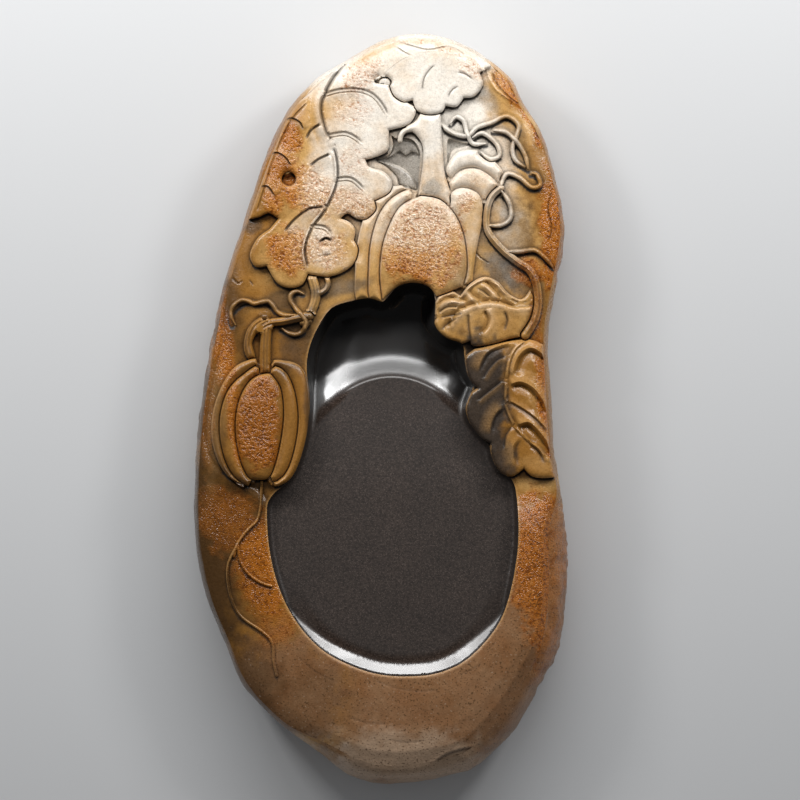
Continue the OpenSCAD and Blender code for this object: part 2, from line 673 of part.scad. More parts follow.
module middle_melon() {
  color("#c58a45") {
    stand(melon_h, melon_round) middle_front_cut();
    for (k = [0:len(middle_melon_ribs) - 1])
      stand(melon_h - rib_step * (k + 1), melon_round / 2) middle_rib_cut(k);
  }
}
module middle_front_cut() {
  cut_back() {
    middle_front_plan();
    left_leaf_plan();
    main_vine_plan();
  }
}
module middle_rib_cut(k) {
  cut_back() {
    closed(middle_melon_ribs[k]);
    middle_front_plan();
    for (j = [0:k - 1]) closed(middle_melon_ribs[j]);
    left_leaf_plan();
    ruffled_leaf_plan();
    main_vine_plan();
  }
}

module back_melon() {
  color("#b08346")
    for (k = [0:len(back_melon_ribs) - 1])
      stand(melon_h - rib_step * (k + 3), melon_round / 2)
        cut_back() {
          closed(back_melon_ribs[k]);
          for (j = [0:k - 1]) closed(back_melon_ribs[j]);
          middle_melon_plan();
          middle_stem_plan();
          main_vine_plan();
          twisted_vine_plan();
          curled_tendril_plan();
          looped_tendril_plan();
        }
}

module left_melon() {
  color("#b97b33")
    for (k = [0:len(left_melon_ribs) - 1])
      stand(melon_h - rib_step * ceil(k / 2), k == 0 ? melon_round : melon_round / 2)
        cut_back() {
          closed(left_melon_ribs[k]);
          for (j = [0:k - 1]) closed(left_melon_ribs[j]);
        }
}

module back_leaf() {
  color("#6f675c")
    translate([0, 0, ground_h - pocket_depth])
      linear_extrude(back_leaf_h)
        intersection() {
          offset(delta = -cut_w) closed(pocket_lines[0]);
          for (lobe = back_leaf_lines) closed(lobe);
        }
}

module middle_stem() {
  color("#a5834c")
    stand(vine_h, leaf_round)
      cut_back() {
        middle_stem_plan();
        top_leaf_plan();
        middle_melon_plan();
      }
}

module left_melon_stalk() {
  color("#b1843f")
    stand(vine_h, leaf_round)
      cut_back() {
        left_stalk_plan();
        left_melon_plan();
        left_vine_plan();
      }
}

module left_leaf_stalk() {
  color("#8d6b3a")
    stand(vine_h, leaf_round / 2)
      cut_back() {
        leaf_stalk_plan();
        left_leaf_plan();
        left_vine_plan();
      }
}

module left_vine() {
  color("#a67c40")
    stand(vine_h, leaf_round / 2) cut_back() left_vine_plan();
}

module hooked_leaf() {
  color("#9c7238")
    stand(vine_h, leaf_round / 2)
      cut_back() {
        hooked_leaf_plan();
        left_vine_plan();
        left_stalk_plan();
        left_melon_plan();
      }
}

module left_tendril() {
  color("#a17a40")
    stand(tendril_h, leaf_round / 2)
      cut_back() {
        left_tendril_plan();
        left_vine_plan();
        leaf_stalk_plan();
        hooked_leaf_plan();
        left_stalk_plan();
        left_leaf_plan();
      }
}

module main_vine() {
  color("#b88c4c")
    stand(vine_h, leaf_round / 2) cut_back() main_vine_plan();
}

module twisted_vine() {
  color("#b58a4c")
    stand(tendril_h, leaf_round / 2)
      cut_back() {
        twisted_vine_plan();
        middle_stem_plan();
        top_leaf_plan();
      }
}

module curled_tendril() {
  color("#a8803f")
    stand(tendril_h, leaf_round / 2)
      cut_back() {
        curled_tendril_plan();
        twisted_vine_plan();
        middle_stem_plan();
        top_leaf_plan();
      }
}

module looped_tendril() {
  color("#b58a4c")
    stand(tendril_h, leaf_round / 2)
      cut_back() {
        looped_tendril_plan();
        main_vine_plan();
        twisted_vine_plan();
        middle_melon_plan();
      }
}

module vine_branch() {
  color("#b58a4c")
    stand(tendril_h, leaf_round / 2)
      cut_back() {
        vine_branch_plan();
        main_vine_plan();
      }
}

module trailing_tendril() {
  color("#a67a3a")
    translate([0, 0, ground_h])
      linear_extrude(trail_h)
        cut_back() {
          trailing_plan();
          left_melon_plan();
        }
}

stone_block();
grinding_well();
crown_skin();
left_leaf();
top_leaf();
ruffled_leaf();
right_leaf();
back_leaf();
middle_melon();
back_melon();
left_melon();
middle_stem();
left_melon_stalk();
left_leaf_stalk();
left_vine();
hooked_leaf();
left_tendril();
main_vine();
twisted_vine();
curled_tendril();
looped_tendril();
vine_branch();
trailing_tendril();
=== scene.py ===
import math

import bpy
import numpy as np
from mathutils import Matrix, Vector
from mathutils.geometry import delaunay_2d_cdt


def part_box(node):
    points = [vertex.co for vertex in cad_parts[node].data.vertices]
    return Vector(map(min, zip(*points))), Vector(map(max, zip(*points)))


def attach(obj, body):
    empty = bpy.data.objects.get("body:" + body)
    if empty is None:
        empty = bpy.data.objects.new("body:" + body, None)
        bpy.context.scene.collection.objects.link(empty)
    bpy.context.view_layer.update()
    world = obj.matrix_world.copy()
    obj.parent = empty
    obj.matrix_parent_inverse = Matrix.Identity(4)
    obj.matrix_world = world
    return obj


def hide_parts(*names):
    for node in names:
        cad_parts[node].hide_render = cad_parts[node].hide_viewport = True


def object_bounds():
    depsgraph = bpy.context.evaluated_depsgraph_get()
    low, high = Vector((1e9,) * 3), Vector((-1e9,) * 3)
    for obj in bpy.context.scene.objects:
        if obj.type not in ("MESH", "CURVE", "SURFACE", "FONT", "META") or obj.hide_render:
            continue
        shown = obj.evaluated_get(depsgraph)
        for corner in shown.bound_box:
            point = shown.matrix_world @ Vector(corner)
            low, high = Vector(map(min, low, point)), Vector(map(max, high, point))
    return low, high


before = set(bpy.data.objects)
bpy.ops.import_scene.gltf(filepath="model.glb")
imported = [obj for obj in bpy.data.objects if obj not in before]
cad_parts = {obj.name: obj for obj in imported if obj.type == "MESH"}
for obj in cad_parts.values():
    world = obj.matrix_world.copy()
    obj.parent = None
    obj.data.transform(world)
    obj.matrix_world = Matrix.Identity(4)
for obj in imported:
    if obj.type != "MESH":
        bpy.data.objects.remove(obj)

# The ink stone lies on its flat underside, with its carved face up and its crown at +Y. The face
# is drawn in millimetres, x to the right and y to the crown, and DRAWN_LOW and DRAWN_HIGH are the
# corners of the pebble's outline in that drawing.
cad_low, cad_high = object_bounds()
MM = 0.001
DRAWN_LOW = np.array([-63.785, -128.0])
DRAWN_HIGH = np.array([64.452, 128.0])
face_low = np.array(cad_low[:2]) / MM
face_high = np.array(cad_high[:2]) / MM


def placed(points):
    """Points of the drawing, in millimetres of the frame."""
    share = (np.asarray(points, float) - DRAWN_LOW) / (DRAWN_HIGH - DRAWN_LOW)
    return face_low + share * (face_high - face_low)


# A long lens looks straight down on the carved face, as a photographer's does on a stone that is
# stood on end. The view's middle and width are those of the photograph on the drawing.
VIEW_MIDDLE = (6.8, 3.06)
VIEW_WIDTH = 272 * MM
VIEW_PLANE = 21 * MM
CAMERA_DISTANCE = 2.4

camera = bpy.data.objects.new("camera", bpy.data.cameras.new("camera"))
camera.location = (*placed(VIEW_MIDDLE) * MM, VIEW_PLANE + CAMERA_DISTANCE)
camera.data.sensor_width = 36
camera.data.lens = camera.data.sensor_width * CAMERA_DISTANCE / VIEW_WIDTH
camera.data.clip_end = 20
bpy.context.scene.collection.objects.link(camera)
bpy.context.scene.camera = camera
bpy.context.scene.view_settings.view_transform = "Standard"


# The floor is a pale studio table. Three softboxes stand beyond the crown: the long one rakes the
# relief and mirrors in the shoulder and the foot of the well, the two square ones mirror at the
# shoulder's ends, and a pale room fills the shadows but is hardly mirrored.
FLOOR_SIZE = 6.0
FLOOR_COLOUR = (0.56, 0.565, 0.57, 1)
FLOOR_ROUGHNESS = 0.9
ROOM_COLOUR = (0.95, 0.97, 1.0, 1)
ROOM_LEVEL = 0.20
ROOM_MIRRORED = 0.03
LAMP_AIM = (0, 0.03, 0.02)


def softbox(name, place, width, height, power):
    """An area lamp that looks at the carving."""
    light = bpy.data.lights.new(name, "AREA")
    light.shape = "RECTANGLE"
    light.size, light.size_y = width, height
    light.energy = power
    box = bpy.data.objects.new(name, light)
    box.location = place
    box.rotation_euler = (Vector(LAMP_AIM) - Vector(place)).to_track_quat("-Z", "Y").to_euler()
    bpy.context.scene.collection.objects.link(box)


softbox("middle_softbox", (0.0, 0.40, 0.345), 0.56, 0.115, 2.15)
softbox("left_softbox", (-0.33, 0.325, 0.32), 0.11, 0.11, 1.2)
softbox("right_softbox", (0.33, 0.325, 0.32), 0.11, 0.11, 1.05)

floor_corners = [(x * FLOOR_SIZE / 2, y * FLOOR_SIZE / 2, 0) for x, y in ((-1, -1), (1, -1), (1, 1), (-1, 1))]
floor_mesh = bpy.data.meshes.new("floor")
floor_mesh.from_pydata(floor_corners, [], [(0, 1, 2, 3)])
floor = bpy.data.objects.new("floor", floor_mesh)
bpy.context.scene.collection.objects.link(floor)
floor_paint = bpy.data.materials.new("floor")
floor_paint.use_nodes = True
floor_shader = floor_paint.node_tree.nodes["Principled BSDF"]
floor_shader.inputs["Base Color"].default_value = FLOOR_COLOUR
floor_shader.inputs["Roughness"].default_value = FLOOR_ROUGHNESS
floor.data.materials.append(floor_paint)

room = bpy.data.worlds.new("room")
room.use_nodes = True
sky = room.node_tree.nodes["Background"]
sky.inputs["Color"].default_value = ROOM_COLOUR
ray = room.node_tree.nodes.new("ShaderNodeLightPath")
strength = room.node_tree.nodes.new("ShaderNodeMix")
strength.inputs[2].default_value = ROOM_LEVEL
strength.inputs[3].default_value = ROOM_MIRRORED
room.node_tree.links.new(ray.outputs["Is Glossy Ray"], strength.inputs[0])
room.node_tree.links.new(strength.outputs[0], sky.inputs["Strength"])
bpy.context.scene.world = room


# The pebble is one river-worn block of slate. Its flank and chin keep their rubbed brown skin, and
# its face is cut down to a level ground, hand-scraped, from which all the carving stands up.
# Everything drawn on the face is worked out here in millimetres, and made in metres.
GROUND_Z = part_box("left_leaf")[0].z / MM
BELLY_Z = 13.0
FOOT_INSET = 9.0
EDGE_INSET = 2.0
CHIN_ROUND = 5.0
CHIN_RISE = 3.5
CHIN_FROM = -117
CHIN_FROM_FADE = 21
CHIN_TO = 4
CHIN_TO_FADE = 18
HALL_MIDDLE = placed((4, -30))
LEVEL_SLACK = 0.02
AT_ONCE = 3000


def node_triangles(node):
    """A CAD node's corners, in millimetres, and its triangles."""
    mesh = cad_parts[node].data
    corners = np.empty(len(mesh.vertices) * 3, np.float32)
    mesh.vertices.foreach_get("co", corners)
    mesh.calc_loop_triangles()
    triangles = np.empty(len(mesh.loop_triangles) * 3, np.int32)
    mesh.loop_triangles.foreach_get("vertices", triangles)
    return np.round(corners.reshape(-1, 3).astype(float) / MM, 3), triangles.reshape(-1, 3)


def border_of(faces):
    """The directed edges that only one of the triangles has."""
    edges = np.vstack([faces[:, [0, 1]], faces[:, [1, 2]], faces[:, [2, 0]]])
    count = faces.max() + 1
    twins = edges[:, 1] * count + edges[:, 0]
    return edges[~np.isin(edges[:, 0] * count + edges[:, 1], twins)]


def loops_of(edges):
    """The closed loops that directed edges make, each a list of corner numbers."""
    following = dict(edges.tolist())
    loops = []
    while following:
        loop = [min(following)]
        while following.get(loop[-1]) != loop[0]:
            loop.append(following.pop(loop[-1]))
        following.pop(loop[-1])
        loops.append(loop)
    return loops


def area(ring):
    """The area inside a ring, above zero where the ring runs anticlockwise."""
    ahead = np.roll(ring, -1, 0)
    return 0.5 * (ring[:, 0] * ahead[:, 1] - ahead[:, 0] * ring[:, 1]).sum()


def outlines(node, height):
    """The closed outlines of a CAD node's faces at one height, each a line of points."""
    corners, triangles = node_triangles(node)
    level = np.abs(corners[:, 2] - height) < LEVEL_SLACK
    places, index = np.unique(corners[:, :2], axis=0, return_inverse=True)
    faces = index.reshape(-1)[triangles[level[triangles].all(1)]]
    found = [places[loop] for loop in loops_of(border_of(faces))]
    turned = area(max(found, key=len)) < 0
    return [ring[::-1] for ring in found] if turned else found


def curve(a, b, c, d, share):
    """Points of the smooth curve from b to c, whose outer neighbours are a and d."""
    t = share[:, None]
    return 0.5 * (2 * b + (c - a) * t + (2 * a - 5 * b + 4 * c - d) * t**2 + (3 * b - a - 3 * c + d) * t**3)


def smooth(points, step, closed=False, corner=180):
    """A smooth line through points, one about every step, and sharp where it turns by more than corner."""
    p = np.asarray(points, float)
    n = len(p)
    ways = np.roll(p, -1, 0) - p
    headings = ways[:, 0] + 1j * ways[:, 1]
    turns = np.degrees(np.abs(np.angle(headings / np.roll(headings, 1))))
    line = []
    for i in range(n if closed else n - 1):
        j = (i + 1) % n
        starts = turns[i] > corner or (i == 0 and not closed)
        ends = turns[j] > corner or (j == n - 1 and not closed)
        count = max(1, round(np.linalg.norm(p[j] - p[i]) / step))
        line.append(curve(p[i] if starts else p[i - 1], p[i], p[j], p[j] if ends else p[(j + 1) % n],
                          np.arange(count) / count))
    if not closed:
        line.append(p[-1:])
    return np.vstack(line)


def near(points, line, closed=False, keep=slice(None)):
    """Each point's distance to a line, above zero on its left, and how far along the line that is."""
    a = line if closed else line[:-1]
    side = np.roll(line, -1, 0) - line if closed else line[1:] - a
    long = np.linalg.norm(side, axis=1)
    before = np.concatenate([[0], np.cumsum(long)[:-1]])[keep]
    a, side, long = a[keep], side[keep], long[keep]
    far, along = np.empty(len(points)), np.empty(len(points))
    for start in range(0, len(points), AT_ONCE):
        some = slice(start, start + AT_ONCE)
        way = points[some, None] - a
        share = np.clip((way * side).sum(2) / long**2, 0, 1)
        apart = np.linalg.norm(way - share[..., None] * side, axis=2)
        rows, k = np.arange(len(apart)), apart.argmin(1)
        turn = side[k, 0] * way[rows, k, 1] - side[k, 1] * way[rows, k, 0]
        far[some] = np.where(turn < 0, -1, 1) * apart[rows, k]
        along[some] = before[k] + share[rows, k] * long[k]
    return far, along


def gap(points, ring, keep=slice(None)):
    """Each point's distance to a closed ring, or to the parts of it that are kept."""
    return np.abs(near(points, ring, closed=True, keep=keep)[0])


def close_by(points, line, reach):
    """The numbers of the points within reach of the box round a line."""
    return np.flatnonzero(((points > line.min(0) - reach) & (points < line.max(0) + reach)).all(1))


def to_left(line, closed=False):
    """The direction to a line's left at each of its points."""
    way = np.roll(line, -1, 0) - np.roll(line, 1, 0) if closed else np.gradient(line, axis=0)
    return np.column_stack([-way[:, 1], way[:, 0]]) / np.linalg.norm(way, axis=1)[:, None]


def inside(points, rings):
    """Which points lie inside closed rings, and outside the holes in them."""
    held = np.zeros(len(points), bool)
    for ring in rings:
        boxed = close_by(points, ring, 0)
        a, b = ring, np.roll(ring, -1, 0)
        rise = np.where(a[:, 1] == b[:, 1], 1, b[:, 1] - a[:, 1])
        for start in range(0, len(boxed), AT_ONCE):
            some = boxed[start:start + AT_ONCE]
            x, y = points[some, :1], points[some, 1:]
            crosses = (a[:, 1] > y) != (b[:, 1] > y)
            left_of_edge = x < a[:, 0] + (y - a[:, 1]) * (b[:, 0] - a[:, 0]) / rise
            held[some] ^= (crosses & left_of_edge).sum(1) % 2 == 1
    return held


def grid(low, high, step):
    """Points in staggered rows that fill a box."""
    rows = np.arange(low[1], high[1], step * 0.87)
    across = np.arange(low[0], high[0], step)
    return np.vstack([np.column_stack([across + (k % 2) * step / 2, np.full(len(across), y)])
                      for k, y in enumerate(rows)])


def ring_edges(rings):
    """The edges of closed rings whose points are numbered one ring after the other."""
    edges, start = [], 0
    for ring in rings:
        edges += [(start + i, start + (i + 1) % len(ring)) for i in range(len(ring))]
        start += len(ring)
    return edges


def meshed(rings, inner):
    """Corners and triangles that fill closed rings and leave their holes open."""
    points = np.vstack([*rings, inner])
    found = delaunay_2d_cdt([Vector(p) for p in points.tolist()], ring_edges(rings), [], 1, 1e-5, False)
    corners = np.array([tuple(v) for v in found[0]])
    faces = np.array(found[2])
    return corners, faces[inside(corners[faces].mean(1), rings)]


GRAIN_CELLS = 128
GRAIN_START = 500


def grain(points, size, seed, stretch=1.0, turn=0.0):
    """Smooth chance heights from -1 to 1, size across, and drawn out along a direction in degrees."""
    chance = np.random.default_rng(seed).uniform(-1, 1, (GRAIN_CELLS, GRAIN_CELLS))
    c, s = math.cos(math.radians(turn)), math.sin(math.radians(turn))
    u = (points[:, 0] * c + points[:, 1] * s) / (size * stretch) + GRAIN_START
    v = (points[:, 1] * c - points[:, 0] * s) / size + GRAIN_START
    i, j = np.floor(u).astype(int), np.floor(v).astype(int)
    across, up = ease(u - i), ease(v - j)
    i, j, next_i, next_j = (k % GRAIN_CELLS for k in (i, j, i + 1, j + 1))
    low = chance[i, j] * (1 - across) + chance[next_i, j] * across
    high = chance[i, next_j] * (1 - across) + chance[next_i, next_j] * across
    return low * (1 - up) + high * up


def ease(t):
    """A share that leaves 0 and reaches 1 gently."""
    t = np.clip(t, 0, 1)
    return t * t * (3 - 2 * t)


def spots(points, places, soft):
    """How far points lie in soft ragged ovals, each (x, y, half width, half height, turn, strength)."""
    most = np.zeros(len(points))
    rough = 0.22 * grain(points, 3.0, 71) + 0.12 * grain(points, 1.1, 72)
    for x, y, wide, high, turn, strength in places:
        way = points - placed((x, y))
        c, s = math.cos(math.radians(turn)), math.sin(math.radians(turn))
        far = np.hypot((way[:, 0] * c + way[:, 1] * s) / wide, (way[:, 1] * c - way[:, 0] * s) / high)
        most = np.maximum(most, strength * ease((1 + soft / 2 - far - rough) / soft))
    return most


def bearing(points):
    """The angle of points about the hall's middle."""
    return np.arctan2(*(points - HALL_MIDDLE).T[::-1])


belly_corners, _ = node_triangles("stone_block")
at_belly = np.abs(belly_corners[:, 2] - BELLY_Z) < LEVEL_SLACK
belly = np.unique(belly_corners[at_belly][:, :2], axis=0)
belly_line = smooth(belly[np.argsort(-bearing(belly))], 1.0, closed=True)
outward = to_left(belly_line, closed=True)
rim_line = max(outlines("grinding_well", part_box("grinding_well")[0].z / MM), key=len)
rim_line = smooth(rim_line, 0.7, closed=True)


def chin_share(points):
    """How far points lie in the uncarved chin, by their angle about the hall's middle."""
    angle = np.degrees(bearing(points))
    return ease((CHIN_TO - angle) / CHIN_TO_FADE) * ease((angle - CHIN_FROM) / CHIN_FROM_FADE)


edge_inset = EDGE_INSET + CHIN_ROUND * chin_share(belly_line)
edge_line = belly_line - outward * edge_inset[:, None]
field_low, field_high = np.floor(belly_line.min(0)) - 3, np.ceil(belly_line.max(0)) + 3
field_x, field_y = (np.arange(low, high) for low, high in zip(field_low, field_high))
lattice = np.stack(np.meshgrid(field_x, field_y, indexing="ij"), -1).reshape(-1, 2)
field_shape = (len(field_x), len(field_y))
edge_field = gap(lattice, edge_line) * np.where(inside(lattice, [edge_line]), 1, -1)
rim_field = gap(lattice, rim_line) * np.where(inside(lattice, [rim_line]), -1, 1)


def read(field, points):
    """A lattice's value at points, in a straight blend of the four places round each."""
    u, v = np.clip(points - field_low, 0, np.array(field_shape) - 1.001).T
    i, j = u.astype(int), v.astype(int)
    values = field.reshape(field_shape)
    one = values[i, j] * (1 - u + i) + values[i + 1, j] * (u - i)
    other = values[i, j + 1] * (1 - u + i) + values[i + 1, j + 1] * (u - i)
    return one * (1 - v + j) + other * (v - j)


CHIN_ACROSS = [0, 0.16, 0.36, 0.68, 1]
CHIN_HEIGHTS = [0, 0.6, 0.9, 1, 0.9]
ROLL_WIDTH = 7.0
ROLL_DROP = 1.9
RIM_BEVEL = 0.35
RIM_BEVEL_WIDTH = 0.8
SCRAPED_FROM = 3


def ground(points):
    """The height of the face before any carving stands on it."""
    from_edge = np.maximum(read(edge_field, points), 0)
    from_rim = np.maximum(read(rim_field, points), 0)
    chin = chin_share(points)
    across = from_edge / (from_edge + from_rim + 1e-6)
    rise = CHIN_RISE * chin * np.interp(across, CHIN_ACROSS, CHIN_HEIGHTS)
    roll = ROLL_DROP * (1 - chin) * np.clip(1 - from_edge / ROLL_WIDTH, 0, 1) ** 2.2
    wave = 0.16 * grain(points, 8, 1) + 0.05 * grain(points, 2.6, 2)
    bevel = RIM_BEVEL * np.clip(1 - from_rim / RIM_BEVEL_WIDTH, 0, 1)
    wave = wave * np.clip(from_rim / SCRAPED_FROM, 0, 1) * np.clip(from_edge / SCRAPED_FROM, 0, 1)
    return GROUND_Z + rise - roll - bevel + wave


class Paint:
    """A colour or value on its way through a material's nodes."""

    def __init__(self, socket):
        self.socket = socket

    def node(self, kind, settings=None, out=0, **links):
        """The output of a new node, given its settings and what its inputs hold."""
        tree = self.socket.id_data
        added = tree.nodes.new(kind)
        for name, value in (settings or {}).items():
            setattr(added, name, value)
        for name, value in links.items():
            numbered = name[0] == "i" and name[1:].isdigit()
            plug = added.inputs[int(name[1:]) if numbered else name]
            if isinstance(value, Paint):
                tree.links.new(value.socket, plug)
            else:
                plug.default_value = value
        return Paint(added.outputs[out])

    def maths(self, operation, one, other):
        """The outcome of a Math node on two values."""
        return self.node("ShaderNodeMath", {"operation": operation}, i0=one, i1=other)

    def __add__(self, other):
        return self.maths("ADD", self, other)

    def __sub__(self, other):
        return self.maths("SUBTRACT", self, other)

    def __mul__(self, other):
        return self.maths("MULTIPLY", self, other)

    def __rsub__(self, other):
        return self.maths("SUBTRACT", other, self)

    __radd__, __rmul__ = __add__, __mul__

    def clear(self, low, high):
        """0 under low and 1 above high, with a soft step between."""
        soft = {"interpolation_type": "SMOOTHSTEP"}
        return self.node("ShaderNodeMapRange", soft, i0=self, i1=low, i2=high)

    def blend(self, one, other):
        """Colour one where this is 0 and the other where it is 1."""
        return self.node("ShaderNodeMix", {"data_type": "RGBA"}, out=2, i0=self, i6=one, i7=other)

    def shade(self, value):
        """This colour times a value."""
        return self.node("ShaderNodeVectorMath", {"operation": "SCALE"}, i0=self, i3=value)

    def noise(self, size, detail, roughness, warp=0.0):
        """Noise whose humps are size millimetres across, at this place."""
        return self.node("ShaderNodeTexNoise", {"normalize": True}, Vector=self, Scale=1 / (size * MM),
                         Detail=detail, Roughness=roughness, Distortion=warp)


def colour(red, green, blue):
    """A colour with full alpha, as the nodes take it."""
    return (red, green, blue, 1.0)


OCHRE = colour(0.270, 0.120, 0.020)
HONEY = colour(0.520, 0.300, 0.100)
CREAM = colour(0.75, 0.690, 0.605)
UMBER = colour(0.270, 0.145, 0.068)
RED_UMBER = colour(0.210, 0.085, 0.026)
DARK_UMBER = colour(0.060, 0.029, 0.009)
ORANGE = colour(0.500, 0.200, 0.045)
DEEP_RUST = colour(0.400, 0.115, 0.005)
PIT_RED = colour(0.330, 0.120, 0.030)
DEEP_PIT = colour(0.150, 0.036, 0.002)
PALE_FLECK_AND_GLINT = colour(0.86, 0.76, 0.62)
DARK_CORE = colour(0.048, 0.034, 0.024)
PALE_CORE = colour(0.42, 0.385, 0.335)
GOLD = colour(0.55, 0.300, 0.100)
TAUPE = colour(0.42, 0.285, 0.185)
SHADE_BLACK = colour(0.014, 0.009, 0.006)
WORDS = ("pale_and_lit", "skin", "dark", "core", "rust", "pits", "hollow", "worn")


def stone_paint(name, roughness=0.29):
    """Slate whose tints follow what each corner of its mesh says of the words of WORDS."""
    material = bpy.data.materials.new(name)
    material.use_nodes = True
    shader = material.node_tree.nodes["Principled BSDF"]
    start = Paint(shader.outputs[0])
    place = start.node("ShaderNodeTexCoord", out=3)
    says = {word: start.node("ShaderNodeAttribute", {"attribute_name": word}, out=2) for word in WORDS}
    broad = place.noise(14, 3, 0.55, 0.6)
    middling = place.noise(4, 3, 0.6)
    fine = place.noise(1.1, 2, 0.6)
    speck = place.noise(0.5, 1, 0.5)
    # The paleness rises towards the crown: partly the stone's paler tone, partly painted light.
    pale_and_lit = says["pale_and_lit"] + (broad - 0.5) * 0.55 + (middling - 0.5) * 0.25
    tint = pale_and_lit.clear(0.0, 0.5).blend(OCHRE, HONEY)
    tint = pale_and_lit.clear(0.45, 1.0).blend(tint, CREAM)
    # The grey core has a dark copy in shade and a pale copy in painted light, chosen by the same paleness.
    core = pale_and_lit.clear(0.2, 0.95).blend(DARK_CORE, PALE_CORE)
    tint = (says["core"] * (0.75 + middling * 0.5)).clear(0.05, 0.95).blend(tint, core)
    umber = (middling * 0.4 + broad * 0.6).clear(0.25, 0.80).blend(UMBER, RED_UMBER)
    # The skin turns taupe where it is paler, as in the painted light on the chin.
    tint = says["skin"].blend(tint, says["pale_and_lit"].clear(0.0, 1.0).blend(umber, TAUPE))
    # The dark mask lays the skin's own dark brown and painted shade.
    tint = says["dark"].blend(tint, DARK_UMBER)
    stain = (says["rust"] * (0.55 + 0.9 * middling)).clear(0.05, 1.0)
    # The rust has lit and shaded copies too, chosen by the paleness: partly painted light and shade.
    high = pale_and_lit.clear(0.30, 0.70)
    tint = (stain * (0.85 - 0.5 * high)).blend(tint, high.blend(DEEP_RUST, ORANGE))
    pitted = (says["pits"] * says["rust"] + (speck - 0.5) * 1.6 * says["rust"]).clear(0.02, 0.40)
    tint = (pitted * (0.9 - 0.15 * high)).blend(tint, high.blend(DEEP_PIT, PIT_RED))
    # Pale flecks in the rust are painted glints.
    painted_glints = (0.6 - says["pits"] * 0.6) * says["rust"] * speck.clear(0.50, 0.62)
    tint = (painted_glints * (0.28 + 0.60 * high)).blend(tint, high.blend(GOLD, PALE_FLECK_AND_GLINT))
    tint = (says["dark"] * 0.6).blend(tint, DARK_UMBER)
    pores = place.noise(0.6, 0, 0.5)
    tint = (pores.clear(0.66, 0.75) * (0.12 + 0.55 * says["skin"])).blend(tint, DARK_UMBER)
    tint = ((1 - pores).clear(0.76, 0.82) * says["skin"] * 0.15).blend(tint, PALE_FLECK_AND_GLINT)
    # Painted highlight on edges and crests that face the lamps, over some real wear.
    tint = (says["worn"] * 0.4).blend(tint, pale_and_lit.clear(0.15, 0.70).blend(GOLD, CREAM))
    tint = tint.shade(0.60 + 0.46 * fine + 0.32 * speck + (speck - 0.5) * says["core"] * 0.9)
    # Painted shade darkens hollows, cut lines, skirt walls and the ground under the forms' lower edges.
    tint = says["hollow"].blend(tint, SHADE_BLACK)
    tree = material.node_tree
    tree.links.new(tint.socket, shader.inputs["Base Color"])
    gloss = roughness - says["rust"] * 0.10 + says["skin"] * 0.05 + says["hollow"] * 0.3 + (fine - 0.5) * 0.2
    tree.links.new(gloss.socket, shader.inputs["Roughness"])
    relief = fine * 0.4 + speck * 0.35 + pores * 0.2 + speck * says["rust"] * 2.6
    bump = start.node("ShaderNodeBump", Strength=0.55, Distance=0.00025, Height=relief)
    tree.links.new(bump.socket, shader.inputs["Normal"])
    return material


SHARP_ANGLE = math.radians(48)


def make_piece(node, corners, faces, material, says):
    """A piece of the stone from corners in millimetres, with what each corner says of its tints."""
    mesh = bpy.data.meshes.new(node)
    mesh.from_pydata((np.asarray(corners) * MM).tolist(), [], [list(f) for f in faces])
    for word, values in says.items():
        attribute = mesh.attributes.new(word, "FLOAT", "POINT")
        attribute.data.foreach_set("value", np.asarray(values, np.float32))
    mesh.materials.append(material)
    mesh.shade_smooth()
    mesh.set_sharp_from_angle(angle=SHARP_ANGLE)
    piece = bpy.data.objects.new(node, mesh)
    bpy.context.scene.collection.objects.link(piece)
    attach(piece, "root")
    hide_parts(node)


PALE_FROM = -12
PALE_TO = 112
# Darker ovals on the left flank, the chin and under the left melon: partly the skin's own dark brown, partly
# painted shade.
DARK_SPOTS = [
    (-60, -48, 13, 44, 8, 0.9), (-46, -92, 12, 18, 35, 0.5), (-61, 4, 7, 46, 5, 0.75),
    (-54, 46, 5, 30, 14, 0.6), (-50, -33, 11, 9, 0, 0.8), (-46, -62, 7, 16, 10, 0.35),
    (-26, -100, 16, 12, 35, 0.25), (-41, -4, 7, 17, 0, 0.4), (-48, -33, 11, 11, 0, 0.75),
    (5, 84, 5, 8, 0, 0.16)
]
OCHRE_SPOTS = [
    (45, 108, 11, 9, -40, 0.4), (59, 78, 10, 30, 0, 0.4), (-40, 96, 8, 22, -30, 0.05),
    (-32, 93, 5, 14, -22, 0.12), (-24, 115, 7, 6, 40, 0.18), (24, 121, 13, 5, -15, 0.08),
    (-2, 122, 10, 3.5, 25, 0.2), (8, 126, 22, 3.5, 0, 0.12), (6, 44, 12, 3, 0, 0.1)
]
# Painted light on the chin and the lower right skin, which slope away from the lamps.
PAINTED_LIGHT_SPOTS = [
    (6, -121, 34, 11, 0, 1.0), (8, -106, 26, 12, 0, 0.18), (36, -103, 16, 16, 30, 0.2),
    (54, -46, 10, 24, 0, 0.10), (53, -25.5, 9, 2.6, 0, 0.35), (6, -118, 24, 4, 0, 0.15)
]
CORE_SPOTS = [
    (46, 60, 8, 13, 0, 0.55), (46, 90, 5, 9, 20, 0.4), (-28, 22, 7, 12, -20, 0.6), (-33, 37, 8, 4, 0, 0.6),
    (-14, 41, 13, 3, 10, 0.6), (44, 46, 10, 6, -40, 0.75), (37, 105, 3, 7, 35, 0.5), (-43, 62, 4, 3, 0, 0.6),
    (27, 95, 9, 5, 0, 0.3), (24, 84, 4, 6, 0, 0.15), (18, 75, 4, 3, 0, 0.6), (26, 46, 5, 8, 0, 0.4),
    (34.5, 2, 9, 23, 6, 1), (40, -15, 6, 10, 20, 0.85), (37, 15, 8, 7, 20, 0.95), (39, -2, 4, 14, 0, 0.7),
    (-24, 4, 2, 14, 0, 0.5), (-32, 82.2, 2.3, 2.3, 0, 0.6)
]
